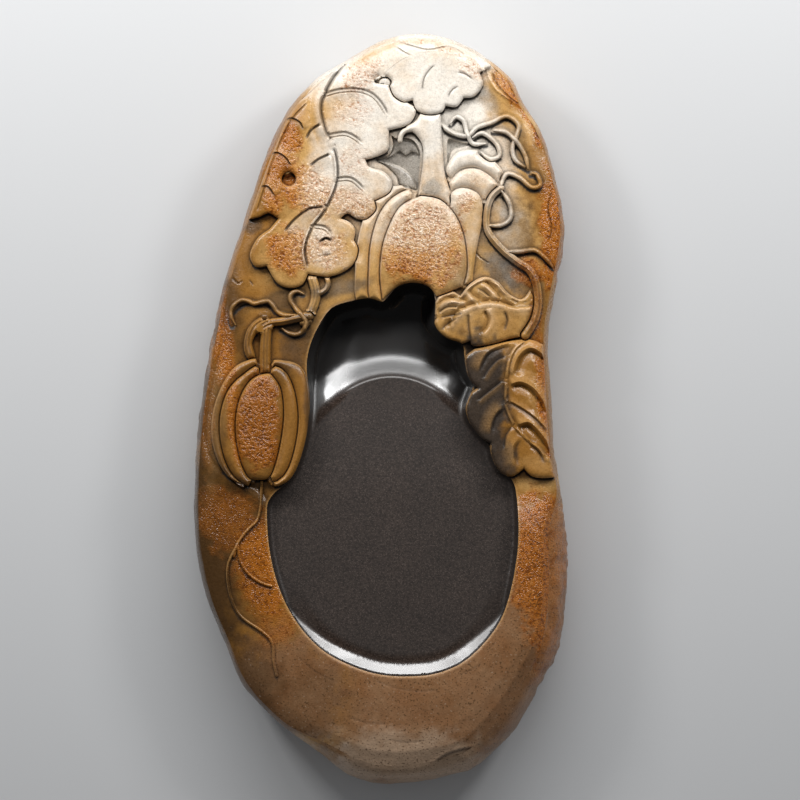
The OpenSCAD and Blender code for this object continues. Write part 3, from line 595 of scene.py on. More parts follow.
RUST_SPOTS = [
    (61, 60, 7, 24, 0, 0.9), (-56, 30, 5, 28, 12, 0.75), (-52, -38, 10, 12, 30, 0.8), (54, -51, 10, 21, 0, 1),
    (58, -66, 8, 22, 0, 0.9), (45, 109, 4, 10, 35, 0.9), (53, 97, 3, 12, 25, 0.9), (-6, 113, 8, 5, 38, 0.7),
    (-9, 101, 7, 6, -20, 0.45), (-9, 84, 6, 6, 0, 0.4), (-25, 74, 10, 8, -30, 0.8),
    (-11, 70, 8, 5, -20, 0.75), (-33, 80, 7, 9, 0, 0.6), (-30, 54, 8, 8, 0, 0.8), (-18, 54, 7, 7, 0, 0.65),
    (-30, 91, 4, 6, 10, 0.7),
    (-36, 70, 4, 5, 0, 0.6), (31, 115, 6, 3, -30, 0.5), (14.5, 55.5, 12.5, 14.5, 0, 1),
    (29, 70, 3.5, 3.5, 0, 0.7), (33, 78, 4, 3, 0, 0.3), (-41, -4, 7, 17, 0, 1), (-48.5, -4, 3.4, 17, 5, 0.7),
    (50, 47, 6, 5, -40, 0.8), (57, 2, 3.5, 22, 8, 0.75), (-41, -54, 9, 18, 12, 0.9), (-35, -74, 8, 7, 0, 0.5),
    (53, 30, 2.4, 14, 0, 0.5), (12, 124.5, 9, 1.2, 0, 0.5), (24, 121.5, 7, 1.3, -18, 0.55),
    (31.5, 117.5, 4, 1.2, -40, 0.7), (-58.5, 2, 2.5, 24, 0, 0.6)
]
# Paler ovals; the one in the right pocket is a painted sheen.
PALER_SPOTS = [
    (32, 32, 16, 11, 0, 0.5), (28, 90, 5, 3, 0, 1), (-25, 55, 15, 9, 0, 0.7), (26, 100, 9, 5, 0, 1)
]
WORN_SPOTS = [(54, -18.5, 6, 3, 0, 0.8), (-56, -4, 3, 20, -3, 0.5)]
SKIN_SPOTS = [(-30, -96, 26, 22, 35, 1), (49, -92, 12, 20, 0, 0.7), (-33, 99, 5, 13, -35, 0.45)]


def tints(points, **extra):
    """What the corners at these places say of the stone's tints."""
    x, y = points.T
    turned = grain(points, 0.46, 31, stretch=1.5, turn=-38) * 0.6 + grain(points, 0.42, 32) * 0.6
    from_edge = np.maximum(read(edge_field, points), 0)
    # Paler towards the crown and darker towards the chin, the edges and the left: partly the stone's own
    # tones, partly painted light and shade, as the lamps stand beyond the crown.
    left = ease((10 - x) / 50)
    edge_share = (1 - ease(from_edge / 20)) * (1 - 0.85 * ease((y - 98) / 14))
    pale_and_lit = 0.97 * ease((y - PALE_FROM) / (PALE_TO - PALE_FROM)) * (1 - (0.42 + 0.4 * left) * edge_share)
    pale_and_lit += 0.15 * spots(points, PALER_SPOTS, soft=0.8) - spots(points, OCHRE_SPOTS, soft=1.0)
    pale_and_lit += spots(points, PAINTED_LIGHT_SPOTS, soft=1.4) - 0.12 * ease((-22 - x) / 8) * (y > 0)
    words = {
        "pale_and_lit": pale_and_lit,
        "dark": spots(points, DARK_SPOTS, soft=1.0),
        "core": spots(points, CORE_SPOTS, soft=0.9),
        "skin": spots(points, SKIN_SPOTS, soft=0.9),
        "rust": spots(points, RUST_SPOTS, soft=0.7),
        "pits": turned,
        "hollow": np.zeros(len(points)),
        "worn": spots(points, WORN_SPOTS, soft=1.0),
    }
    return {**words, **extra}


# The flank runs from the foot up to the edge of the face, where it takes up the face's slope. It
# bulges and dips as a river leaves it, and is broken and pitted in some places.
FLANK_STEPS = 20
BROKEN_SPOTS = [
    (62, -62, 14, 42, 0, 1), (-60, 22, 10, 60, 10, 0.6), (60, 55, 10, 26, 0, 0.7), (36, -120, 18, 12, 0, 0.7)
]
CHIN_SLOPE = 0.38
ROLL_SLOPE = 0.60
FLANK_WEAR = 0.2
flank_rings = []
for k in range(FLANK_STEPS + 1):
    a = math.pi / 2 * k / FLANK_STEPS
    flank_rings.append(np.column_stack([belly_line - outward * FOOT_INSET * (1 - math.sin(a)),
                                        np.full(len(belly_line), BELLY_Z * (1 - math.cos(a)))]))
edge_z = ground(edge_line)
edge_slope = CHIN_SLOPE * chin_share(belly_line) + ROLL_SLOPE * (1 - chin_share(belly_line))
last = np.arctan((edge_z - BELLY_Z) / edge_inset / edge_slope)
for k in range(1, FLANK_STEPS + 1):
    a = last * k / FLANK_STEPS
    in_share = (1 - np.cos(a)) / (1 - np.cos(last))
    flank_rings.append(np.column_stack([belly_line - outward * (edge_inset * in_share)[:, None],
                                        BELLY_Z + (edge_z - BELLY_Z) * np.sin(a) / np.sin(last)]))
flank = np.array(flank_rings)
around = np.concatenate([[0], np.cumsum(np.linalg.norm(np.diff(belly_line, axis=0), axis=1))])
broken = spots(belly_line, BROKEN_SPOTS, soft=0.8)
for k in range(1, len(flank) - 1):
    strip = np.column_stack([around, flank[k, :, 2]])
    lumps = 0.30 * grain(strip, 19, 5) + 0.22 * grain(strip, 5, 6) + 0.08 * grain(strip, 1.7, 7)
    lumps += broken * (0.42 * grain(strip, 3.2, 8) + 0.20 * grain(strip, 1.3, 9) - 0.40)
    fade = min(1, k / 4, (len(flank) - 1 - k) / 3)
    flank[k, :, :2] += outward * (lumps * fade - FLANK_WEAR)[:, None]


# Lines lie on the ground itself: engraved arcs, cracks in the skin, scratches and the chin's
# chipped edge. Each has a cross profile, given from its right side to its left as (offset, height).
LINE_STEP = 0.6
# How deep and how wide a cut's hollow is painted in shade.
DARK_DEPTH = 0.5
DARK_WIDTH = 1.1


def cuts_along(lines, profile, starts, ends):
    """A knife's lines, each of which deepens over its first and shallows over its last millimetres."""
    profile = np.array(sorted(profile), float)
    return [(placed(smooth(line, LINE_STEP)), profile, starts, ends) for line in lines]


def turned_over(profile):
    """A cross profile with its sides changed over."""
    return [(-offset, height) for offset, height in profile]


def carved_lines(points, cuts):
    """How much the cuts raise or lower points, and how much painted shade darkens the cuts' hollows."""
    rise, dark = np.zeros(len(points)), np.zeros(len(points))
    for line, profile, starts, ends in cuts:
        boxed = close_by(points, line, np.abs(profile[:, 0]).max())
        far, along = near(points[boxed], line)
        whole = np.linalg.norm(np.diff(line, axis=0), axis=1).sum()
        fade = ease(along / starts) * ease((whole - along) / ends)
        step = np.interp(far, *profile.T, left=0, right=0) * fade
        rise[boxed] += step
        shade = np.clip(-step / DARK_DEPTH, 0, 1) * np.exp(-(far / DARK_WIDTH) ** 2)
        dark[boxed] = np.maximum(dark[boxed], shade)
    return rise, dark


def beside(line, offset):
    """A line's points moved to its left."""
    return line + to_left(line) * offset


ENGRAVED = [(-0.9, 0), (-0.5, 0.06), (0, -0.4), (0.5, 0.06), (0.9, 0)]
SCRATCH = [(-0.5, 0), (0, -0.12), (0.5, 0)]
CRACK = [(-0.6, 0), (0, -0.4), (0.35, 0.12), (0.8, 0)]
ENGRAVED_LINES = [
    [(35.3, 61), (32.7, 59.2), (31.6, 56.5), (32.1, 53.9), (34.3, 51.2), (37.5, 49.3)],
    [(-50.3, 44.7), (-48.3, 42.7), (-46.4, 43.8)],
    [(-44.8, 43.9), (-44, 43.2), (-43, 41.6)],
    [(-55.4, -8), (-54.6, -14), (-52.6, -20), (-49, -25.4), (-45, -27.4)]
]
SCRATCHES = [
    [(-2, -92), (6, -94.6), (14, -95.6), (20, -95)],
    [(27, -90), (31, -88.4), (35, -86)],
    [(36, -82), (38.4, -80), (40, -78)],
    [(-58, -41), (-54, -43), (-50, -46)],
    [(47.4, -35.2), (53, -39.6), (60.5, -45.4)],
    [(47.8, -32.8), (52, -36.6), (57, -40)],
    [(56, -46), (58.4, -48.4), (61, -50.4)],
    [(2, -112), (9, -113), (16, -112.4)],
    [(-28, -84), (-22, -89), (-15, -92.6)],
    [(-12, -104), (-4, -106.4), (3, -106.6)]
]
CRACKS = [
    [(58.6, 74), (57.2, 68), (58.4, 62), (57.8, 57)],
    [(38, 115), (40, 110), (45, 105), (49, 103)],
    [(49, 103), (52, 97), (54.4, 91)],
    [(0, -123.7), (3, -121.7), (6.5, -123.2)]
]
CHIP = [(-8, 0), (-5, -0.25), (-0.4, -0.35), (0.1, 0.1), (0.9, 0)]
CHIP_LINE = [(15, -122), (18, -120), (22, -117), (27, -115.3), (31, -114.7), (35, -115.2)]
CUT_EDGE = [(-4, 0), (-1.2, 0.7), (0.2, 0.45), (1.2, -0.35), (2.8, 0)]
CUT_EDGE_LINE = [
    (-52.2, 43), (-53.6, 33), (-54.5, 23.7), (-57.2, 13), (-59.1, 2.6), (-60, -10.3), (-56.3, -19.4),
    (-48, -24.6), (-41.6, -28.6), (-38, -34)
]
SKIN_EDGE = [(-2.5, 0), (-0.9, 0.15), (-0.2, 0.75), (0.5, 0.55), (3.0, -0.45), (5.0, 0)]
SKIN_EDGE_LINE = [(35.8, 116.5), (39, 109), (46.4, 103.8), (49.5, 101.7), (52.7, 97.5), (56.9, 88), (59, 75)]
ground_cuts = cuts_along(ENGRAVED_LINES, ENGRAVED, 1, 1)
ground_cuts += cuts_along(SCRATCHES, SCRATCH, 2, 2)
ground_cuts += cuts_along(CRACKS, CRACK, 1.5, 1.5)
ground_cuts += cuts_along([CHIP_LINE], CHIP, 1.5, 2)
ground_cuts += cuts_along([CUT_EDGE_LINE], CUT_EDGE, 8, 3)
ground_cuts += cuts_along([SKIN_EDGE_LINE], SKIN_EDGE, 2, 10)

# Where a carved form stands, its ground is only roughly divided. The knife has cut a little deeper
# along every form. Painted shade darkens the ground round every form, with a painted shadow under
# the forms' lower edges, on the side away from the lamps.
FACE_STEP = 0.55
RING_STEP = 0.45
RING_CORNER = 38
POCKET_STEP = 0.4
SHADE_REACH = 1.1
CAST_SHADOW = 0.97
CAST_SHADOW_WIDTH = 1.25
CAST_SHADOW_FADE = 0.6
EDGE_SHADE = 0.35
EDGE_SHADE_WIDTH = 0.3
EDGE_CUT = 0.25
EDGE_CUT_WIDTH = 0.5
EDGE_ROWS = (0.05, 0.6, 1.2)
HALO = 0.55
HALO_WIDTH = 1.8
HALO_FADES_FROM = placed((0, 84))[1]
HALO_FADE = 16
HALO_FADED = 0.7
SHADE_OF = {"trailing_tendril": 0.5, "crown_skin": 0.5, "middle_melon": 0.8, "back_melon": 0.7}
GROOVE_RISE = 1.8
GROOVE_REACH = 1.6
GROOVE_FADE = 0.3
GROOVE_LIT = 0.6
MELONS = ("middle_melon", "back_melon", "left_melon")
HELD_BACK = [(-2.2, 112.9, 3.4, 1.6, 2.8), (1.6, 110.6, 2.2, 1.8, 2.8), (-32, 82.2, 3.2, 3.2, 2.3)]
HELD_FADE = 0.25
HELD_LIT = 0.95
POCKET_FADE = 0.5
JOINT_KNOB = placed((-39.2, 31.3))
JOINT_KNOB_HALF = (2.0, 1.8)
JOINT_KNOB_RISE = 3.2
POCKETS_PART = placed((20, 0))[0]
RIGHT_POCKET_SHALLOWER = 0.45
form_nodes = [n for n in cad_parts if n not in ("stone_block", "grinding_well", "back_leaf")]
form_rings = {}
for n in form_nodes:
    form_rings[n] = []
    for ring in outlines(n, GROUND_Z):
        form_rings[n].append(smooth(ring, RING_STEP, closed=True, corner=RING_CORNER))
pocket_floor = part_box("back_leaf")[0].z / MM
pocket_rings = [smooth(ring, POCKET_STEP, closed=True) for ring in outlines("stone_block", pocket_floor)]

face_points = grid(edge_line.min(0), edge_line.max(0), FACE_STEP)
face_points = face_points[inside(face_points, [edge_line, rim_line])]
covered = np.zeros(len(face_points), bool)
for n in form_nodes:
    held = inside(face_points, form_rings[n])
    for ring in form_rings[n]:
        boxed = close_by(face_points, ring, 1)
        boxed = boxed[held[boxed]]
        held[boxed] = gap(face_points[boxed], ring) > 1.0
    covered |= held
edge_rows = []
for n in form_nodes:
    for ring in form_rings[n]:
        edge_rows += [ring - to_left(ring, closed=True) * row for row in EDGE_ROWS]
edge_rows = np.vstack(edge_rows)
under_form = np.zeros(len(edge_rows), bool)
for n in form_nodes:
    under_form |= inside(edge_rows, form_rings[n])
line_rows = [beside(line, offset) for line, profile, _, _ in ground_cuts for offset in profile[:, 0]]
rows = np.vstack([edge_rows[~under_form], *pocket_rings, *line_rows])
rows = rows[inside(rows, [edge_line, rim_line])]
face_corners, face_faces = meshed([edge_line, rim_line], np.vstack([face_points[~covered], rows]))
face_z = ground(face_corners)
hollow, halo = np.zeros(len(face_corners)), np.zeros(len(face_corners))
under = np.zeros(len(face_corners), bool)
to_rib, to_next_rib = np.full((2, len(face_corners)), 9.0)
for n in form_nodes:
    strength = SHADE_OF.get(n, 1.0)
    within = inside(face_corners, form_rings[n])
    under |= within
    for ring in form_rings[n]:
        boxed = close_by(face_corners, ring, 3)
        some = face_corners[boxed]
        apart = gap(some, ring)
        below = inside(some + (0, SHADE_REACH), form_rings[n]) & ~within[boxed]
        cast_shadow = CAST_SHADOW * ease((CAST_SHADOW_WIDTH - apart) / CAST_SHADOW_FADE)
        shade = np.where(below, cast_shadow, EDGE_SHADE * np.exp(-apart / EDGE_SHADE_WIDTH))
        hollow[boxed] = np.maximum(hollow[boxed], strength * shade)
        if n in MELONS:
            to_next_rib[boxed] = np.minimum(to_next_rib[boxed], np.maximum(to_rib[boxed], apart))
            to_rib[boxed] = np.minimum(to_rib[boxed], apart)
        face_z[boxed] -= strength * EDGE_CUT * np.exp(-(apart / EDGE_CUT_WIDTH) ** 2)
        halo[boxed] = np.maximum(halo[boxed], HALO * strength * np.exp(-apart / HALO_WIDTH))
halo *= 1 - HALO_FADED * ease((face_corners[:, 1] - HALO_FADES_FROM) / HALO_FADE)

# Between two ribs of a melon the ground stands higher, and a knob of it carries the joint of the
# left vines. In the leaf's curl and its hole it is less deeply cut, in ovals that HELD_BACK gives
# as (x, y, half width, half height, rise).
grooves = ease((GROOVE_REACH - to_next_rib) / GROOVE_FADE)
face_z += GROOVE_RISE * grooves
# Where the ground stands higher, between ribs, in the held-back ovals and on the knob, less painted shade is
# laid on it.
hollow *= 1 - GROOVE_LIT * grooves
kept = np.zeros(len(face_corners))
for x, y, wide, high, rise in HELD_BACK:
    held = ease((1 - np.hypot(*((face_corners - placed((x, y))) / (wide, high)).T)) / HELD_FADE)
    face_z += np.where(under, 0, rise * held)
    hollow *= 1 - HELD_LIT * held
    kept = np.maximum(kept, held)
from_knob = np.hypot(*((face_corners - JOINT_KNOB) / JOINT_KNOB_HALF).T)
face_z += JOINT_KNOB_RISE * np.sqrt(np.clip(1 - from_knob**2, 0, 1))
hollow *= np.clip(from_knob, 0, 1)
rise, dark = carved_lines(face_corners, ground_cuts)
face_z += rise
# The cut lines' hollows are painted in shade too.
hollow = np.maximum(hollow, 0.8 * dark)
in_pocket = np.zeros(len(face_corners))
for ring in pocket_rings:
    boxed = close_by(face_corners, ring, 1)
    some = face_corners[boxed]
    sunk = np.where(inside(some, [ring]), ease(gap(some, ring) / POCKET_FADE), 0)
    in_pocket[boxed] = np.maximum(in_pocket[boxed], sunk)
shallower = 1 - RIGHT_POCKET_SHALLOWER * (face_corners[:, 0] > POCKETS_PART)
face_z -= in_pocket * (GROUND_Z - pocket_floor) * shallower


def filled(rings):
    """Triangles that fill closed rings from above, with their points numbered one ring after the other."""
    points = [Vector(p) for p in np.vstack(rings).tolist()]
    found = delaunay_2d_cdt(points, ring_edges(rings), [], 1, 1e-5, True)
    corners = np.array([tuple(v) for v in found[0]])
    faces = np.array(found[2])
    faces = faces[inside(corners[faces].mean(1), rings)]
    source = np.array([numbers[0] if numbers else 0 for numbers in found[3]])
    return source[faces]


# The block closes with its flat underside, and with an upright wall and a seat for the well.
count = len(belly_line)
flank_faces = []
for k in range(len(flank) - 1):
    for i in range(count):
        j = (i + 1) % count
        flank_faces.append((k * count + i, (k + 1) * count + i, (k + 1) * count + j, k * count + j))
if area(belly_line) > 0:
    flank_faces = [face[::-1] for face in flank_faces]
top_first = len(flank) * count
rim_first = top_first + len(face_corners)
foot_first = rim_first + len(rim_line)
wall = []
for i in range(len(rim_line)):
    j = (i + 1) % len(rim_line)
    wall.append((rim_first + i, foot_first + i, foot_first + j, rim_first + j))
if area(rim_line) > 0:
    wall = [face[::-1] for face in wall]
seat_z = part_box("grinding_well")[0].z / MM
rim_top = np.column_stack([rim_line, ground(rim_line)])
rim_foot = np.column_stack([rim_line, np.full(len(rim_line), seat_z)])
corners = np.vstack([flank.reshape(-1, 3), np.column_stack([face_corners, face_z]), rim_top, rim_foot])
faces = flank_faces + (face_faces + top_first).tolist() + wall
faces += filled([flank[0, :, :2]])[:, ::-1].tolist() + (filled([rim_line]) + foot_first).tolist()

# The stains of the flank wander, so that they don't run down it in upright bands.
STAIN_WANDER = 7
strips = np.column_stack([np.tile(around, len(flank)), flank[:, :, 2].ravel()])
stained = corners[:, :2].copy()
stained[:top_first] += STAIN_WANDER * np.column_stack([grain(strips, 11, 51), grain(strips, 11, 52)])
block_says = tints(stained)
block_says["pits"][:top_first] = 0.6 * grain(strips, 2.2, 53)
block_says["skin"] = np.maximum(block_says["skin"], chin_share(corners[:, :2]))
block_says["rust"][:top_first] *= 0.5
face = slice(top_first, rim_first)
block_says["hollow"][face] = hollow
block_says["rust"][face] *= 1 - kept
block_says["core"][face] = np.maximum(block_says["core"][face], np.maximum(in_pocket, halo))
block_says["worn"][face] += 1.7 * ease(1 - read(rim_field, face_corners) / RIM_BEVEL_WIDTH)
make_piece("stone_block", corners, faces, stone_paint("river_stone"), block_says)


# The grinding well is sunk into the dark core of the pebble: a broad hall, honed level, whose
# floor breaks at a curved shoulder and slopes down to the ink pool under the melon. Its wall is
# a polished cove all round.
HALL_Z = GROUND_Z - 4
HALL_FALL = 0.8
WALL_WIDTH = 5.5
HALL_NARROWER = 3.6
WIDER_FROM = 6
WIDER_FADE = 8
CREST_DROP = 0.22
CREST_HALF = 10
CREST_FADE = 8
BEACH_WIDTH = 5.8
BEACH_SLOPE = 0.535
BEACH_FROM = placed((0, -58))[1]
BEACH_FADE = 12
BEACH_FULL = 24
BEACH_ROUND = 2
CLIFF_WAYS = [0, 0.15, 0.35]
CLIFF_SHARES = [1, 0.1, 0]
CREST_WIDTH = 0.6
SHOULDER_HEAD = placed((4, 10.6))
BEND = 0.0205
WELL_STEP = 0.9
WALL_ROWS = (0.15, 0.35, 0.65, 1.0, 1.4, 1.9, 2.5, 3.2, 4.0, 4.8, 5.5, 6.4, 7.2, 8.0)
CREST_ROWS = (-0.8, -0.3, 0, 0.15, 0.3, 0.45, 0.6, 0.9, 1.4, 2)
POOL_WAYS = [0, 0.5, 1.2, 2.0, 3.0, 5.0, 7.5, 10.0, 24.0, 28.0]
POOL_SLOPES = [0, 0.04, 0.06, 0.46, 0.60, 0.59, 0.36, 0.27, 0.22, 0]
SOFT_WAYS = [-2.0, 2.6, 7.0, 10.0, 24.0, 28.0]
SOFT_SLOPES = [0, 0.53, 0.56, 0.30, 0.22, 0]
SLOPE_STEP = 0.1
LEAST_APART = 0.1
pool_way = np.arange(-3, 30, SLOPE_STEP)
pool_drop = np.cumsum(np.interp(pool_way, POOL_WAYS, POOL_SLOPES)) * SLOPE_STEP
soft_drop = np.cumsum(np.interp(pool_way, SOFT_WAYS, SOFT_SLOPES)) * SLOPE_STEP


def crest_fall(x):
    """How far the shoulder's crest lies below its head, x to the side of it."""
    return BEND * x**2


def past_shoulder(points):
    """How far points lie beyond the shoulder's crest, towards the pool."""
    x, y = (points - SHOULDER_HEAD).T
    slope = 2 * BEND * x
    return (y + crest_fall(x)) / np.sqrt(1 + slope**2)


def to_ends(points):
    """0 along the middle of the shoulder and 1 near its ends."""
    return ease((np.abs(points[:, 0] - SHOULDER_HEAD[0]) - CREST_HALF) / CREST_FADE)


def well_floor(points):
    """The height of the hall, the shoulder and the pool."""
    past = past_shoulder(points)
    from_foot = (points[:, 1] - HALL_MIDDLE[1]) / (SHOULDER_HEAD[1] - HALL_MIDDLE[1])
    end = to_ends(points)
    crest = CREST_DROP * (1 - end) * ease(past / CREST_WIDTH)
    drop = np.interp(past, pool_way, pool_drop) * (1 - end) + np.interp(past, pool_way, soft_drop) * end
    return HALL_Z - HALL_FALL * ease(from_foot) - crest - drop


def rounded(share):
    """The height across a quarter round, from 0 at its edge to 1 at its top."""
    return np.sqrt(1 - (1 - np.clip(share, 0, 1)) ** 2)


rim_inward = to_left(rim_line, closed=True) * math.copysign(1, area(rim_line))
well_points = [rim_line + rim_inward * row for row in WALL_ROWS]
crest_x = np.arange(-30, 32, 0.5)
crest_y = SHOULDER_HEAD[1] - crest_fall(crest_x - SHOULDER_HEAD[0])
well_points += [np.column_stack([crest_x, crest_y + row]) for row in CREST_ROWS]
well_points = np.vstack([*well_points, grid(rim_line.min(0), rim_line.max(0), WELL_STEP)])
well_points = well_points[inside(well_points, [rim_line])]
well_points = well_points[gap(well_points, rim_line) > LEAST_APART]
well_corners, well_faces = meshed([rim_line], well_points)

# The wall is a cove, as high as the rim beside it. Round the hall's foot it is a ramp up to a low
# cliff instead, which mirrors the long softbox in a bright crescent.
from_rim, along_rim = near(well_corners, rim_line, closed=True)
from_rim = np.abs(from_rim)
rim_ring = np.vstack([rim_line, rim_line[:1]])
rim_way = np.concatenate([[0], np.cumsum(np.linalg.norm(np.diff(rim_ring, axis=0), axis=1))])
rim_height = np.interp(along_rim, rim_way, ground(rim_ring))
past = past_shoulder(well_corners)
wall_width = WALL_WIDTH - HALL_NARROWER * (1 - ease((past - WIDER_FROM) / WIDER_FADE))
floor_height = well_floor(well_corners)
to_foot = BEACH_FROM - well_corners[:, 1]
beach = ease(to_foot / BEACH_FADE)
up_beach = BEACH_WIDTH * ease((to_foot - 3) / BEACH_FULL) - from_rim
foot_round = np.clip(up_beach, 0, BEACH_ROUND) ** 2 / (2 * BEACH_ROUND)
ramp = BEACH_SLOPE * (foot_round + np.maximum(up_beach - BEACH_ROUND, 0))
cove_z = floor_height + (rim_height - floor_height) * (1 - rounded(from_rim / wall_width))
cliff = np.interp(from_rim, CLIFF_WAYS, CLIFF_SHARES)
beach_z = floor_height + ramp + (rim_height - floor_height - ramp) * cliff
well_z = np.where(from_rim < 1e-4, rim_height, cove_z * (1 - beach) + beach_z * beach)


def closed_down(corners, faces, low):
    """Corners and faces of a surface that is closed by a skirt down to low and by an underside."""
    edges = border_of(faces)
    border = np.unique(edges)
    index = np.full(len(corners), -1)
    index[border] = len(corners) + np.arange(len(border))
    foot = corners[border].copy()
    foot[:, 2] = low[border] if np.ndim(low) else low
    skirt = [(a, index[a], index[b], b) for a, b in edges]
    loops = loops_of(edges)
    base = np.concatenate(loops)[filled([corners[loop, :2] for loop in loops])]
    base = index[base][:, ::-1]
    return np.vstack([corners, foot]), [*map(tuple, faces.tolist()), *skirt, *map(tuple, base.tolist())]


WELL_BROWN = colour(0.018, 0.0105, 0.007)
WELL_GREY = colour(0.044, 0.028, 0.020)
WELL_SPECK = colour(0.075, 0.053, 0.042)
# The blacker tint of the pool and the rim's inner band: oiled stone with painted shade.
WELL_WET_AND_SHADE = colour(0.010, 0.0085, 0.0075)
OILED_IOR = 1.92


def well_paint(name):
    """Dark core slate, honed and oiled, glossier where it dips to the pool, and blacker there and just inside
    the rim, partly as oiled stone and partly as painted shade.
    """
    material = bpy.data.materials.new(name)
    material.use_nodes = True
    shader = material.node_tree.nodes["Principled BSDF"]
    start = Paint(shader.outputs[0])
    place = start.node("ShaderNodeTexCoord", out=3)
    wet_and_shade = start.node("ShaderNodeAttribute", {"attribute_name": "wet_and_shade"}, out=2)
    polish = start.node("ShaderNodeAttribute", {"attribute_name": "polish"}, out=2)
    mottle = place.noise(0.8, 2, 0.7)
    speck = place.noise(0.42, 0, 0.5)
    broad = place.noise(16, 2, 0.5)
    tint = mottle.clear(0.3, 0.72).blend(WELL_BROWN, WELL_GREY)
    tint = speck.clear(0.62, 0.74).blend(tint, WELL_SPECK)
    tint = tint.shade(0.7 + 0.6 * broad)
    tint = wet_and_shade.blend(tint, WELL_WET_AND_SHADE)
    shader.inputs["IOR"].default_value = OILED_IOR
    tree = material.node_tree
    tree.links.new(tint.socket, shader.inputs["Base Color"])
    drawn_out = start.node("ShaderNodeVectorMath", {"operation": "MULTIPLY"}, i0=place, i1=(0.25, 1.0, 1.0))
    scraped = drawn_out.noise(0.9, 2, 0.6)
    uneven = (mottle - 0.5) * 0.08 + (scraped - 0.5) * 0.16 * wet_and_shade
    gloss = 0.45 - 0.26 * polish + uneven * (1 - 0.8 * polish)
    tree.links.new(gloss.socket, shader.inputs["Roughness"])
    bump = start.node("ShaderNodeBump", Strength=0.2, Distance=0.0001, Height=speck * (1 - 0.9 * polish))
    tree.links.new(bump.socket, shader.inputs["Normal"])
    return material


# The pool and a narrow band inside the rim are painted blacker: partly oiled stone, partly painted shade.
wet_and_shade = np.maximum(ease((past - 0.2) / 3.5), ease((1 - from_rim / 1.5) / 0.5) * 0.5)
ends = to_ends(well_corners)
polish = ease((past + 2.5 * ends) / 1.5) * np.maximum(ends, ease((past - 4.5) / 4))
polish *= ease((from_rim - 1.8) / 1.2)
round_foot = ease((np.abs(well_corners[:, 0] - SHOULDER_HEAD[0]) - 16) / 16)
polish = np.maximum(polish, beach * ease((1 - from_rim / 8) / 0.4) * (1 - 0.75 * round_foot))
corners, faces = closed_down(np.column_stack([well_corners, well_z]), well_faces, seat_z)
dull = np.zeros(len(corners) - len(wet_and_shade))
well_says = {"wet_and_shade": np.concatenate([wet_and_shade, dull]), "polish": np.concatenate([polish, dull])}
make_piece("grinding_well", corners, faces, well_paint("core_stone"), well_says)


# Every carved form is left standing on the ground: a leaf, a melon or a vine with an upright cut
# edge, a rounded shoulder and lines that the knife has cut or left proud. A cut is a line of the
# drawing with its cross profile, given from its right side to its left as (offset, height).
def grouped(rings):
    """Each solid's outer outline with the holes that lie in it."""
    outer = [ring for ring in rings if area(ring) > 0]
    holes = [ring for ring in rings if area(ring) < 0]
    return [(o, [h for h in holes if inside(h[:1], [o])[0]]) for o in outer]


TOP_Z = cad_high[2] / MM - 0.03
LIMIT_FROM = TOP_Z - 0.9
LIMIT_BAND = TOP_Z - LIMIT_FROM
# A form's edges that face the lamps, up and to the left, take a painted highlight.
LIT_EDGE = (-0.35, 0.75)
LIT_EDGE_HIGHLIGHT = 0.9
FLUSH_REACH = 0.9
FLUSH_OVERLAP = 0.3
FORM_ROWS = (0.14, 0.34, 0.62)
CUT_ROWS_WITHIN = 1.6
PITS_FROM_EDGE = 1.2
CUTS_FROM_EDGE = 0.7
FOOT_SINK = 0.5
SKIRT_SHADE = 0.75


def pillow(height, rounding, base=0.6):
    """The shape of a form with an upright edge, base of its height, and a rounded shoulder."""
    def shape(depth, front, points):
        return height * (base + (1 - base) * rounded(depth / rounding))
    return shape


def form_points(rings, cuts, step):
    """The points in a form's outlines: a grid, and rows beside its cuts and inside its edges."""
    points = grid(rings[0].min(0), rings[0].max(0), step)
    for line, profile, _, _ in cuts:
        reach = min(1.0, np.abs(profile[:, 0]).max())
        boxed = close_by(points, line, reach)
        points = np.delete(points, boxed[np.abs(near(points[boxed], line)[0]) < reach], 0)
        rows = [beside(line, offset) for offset in profile[:, 0] if abs(offset) < CUT_ROWS_WITHIN]
        points = np.vstack([points, *rows])
    for row in FORM_ROWS:
        for ring in rings:
            points = np.vstack([points, ring + to_left(ring, closed=True) * row])
    points = points[inside(points, rings)]
    return points[np.min([gap(points, ring) for ring in rings], axis=0) > LEAST_APART]


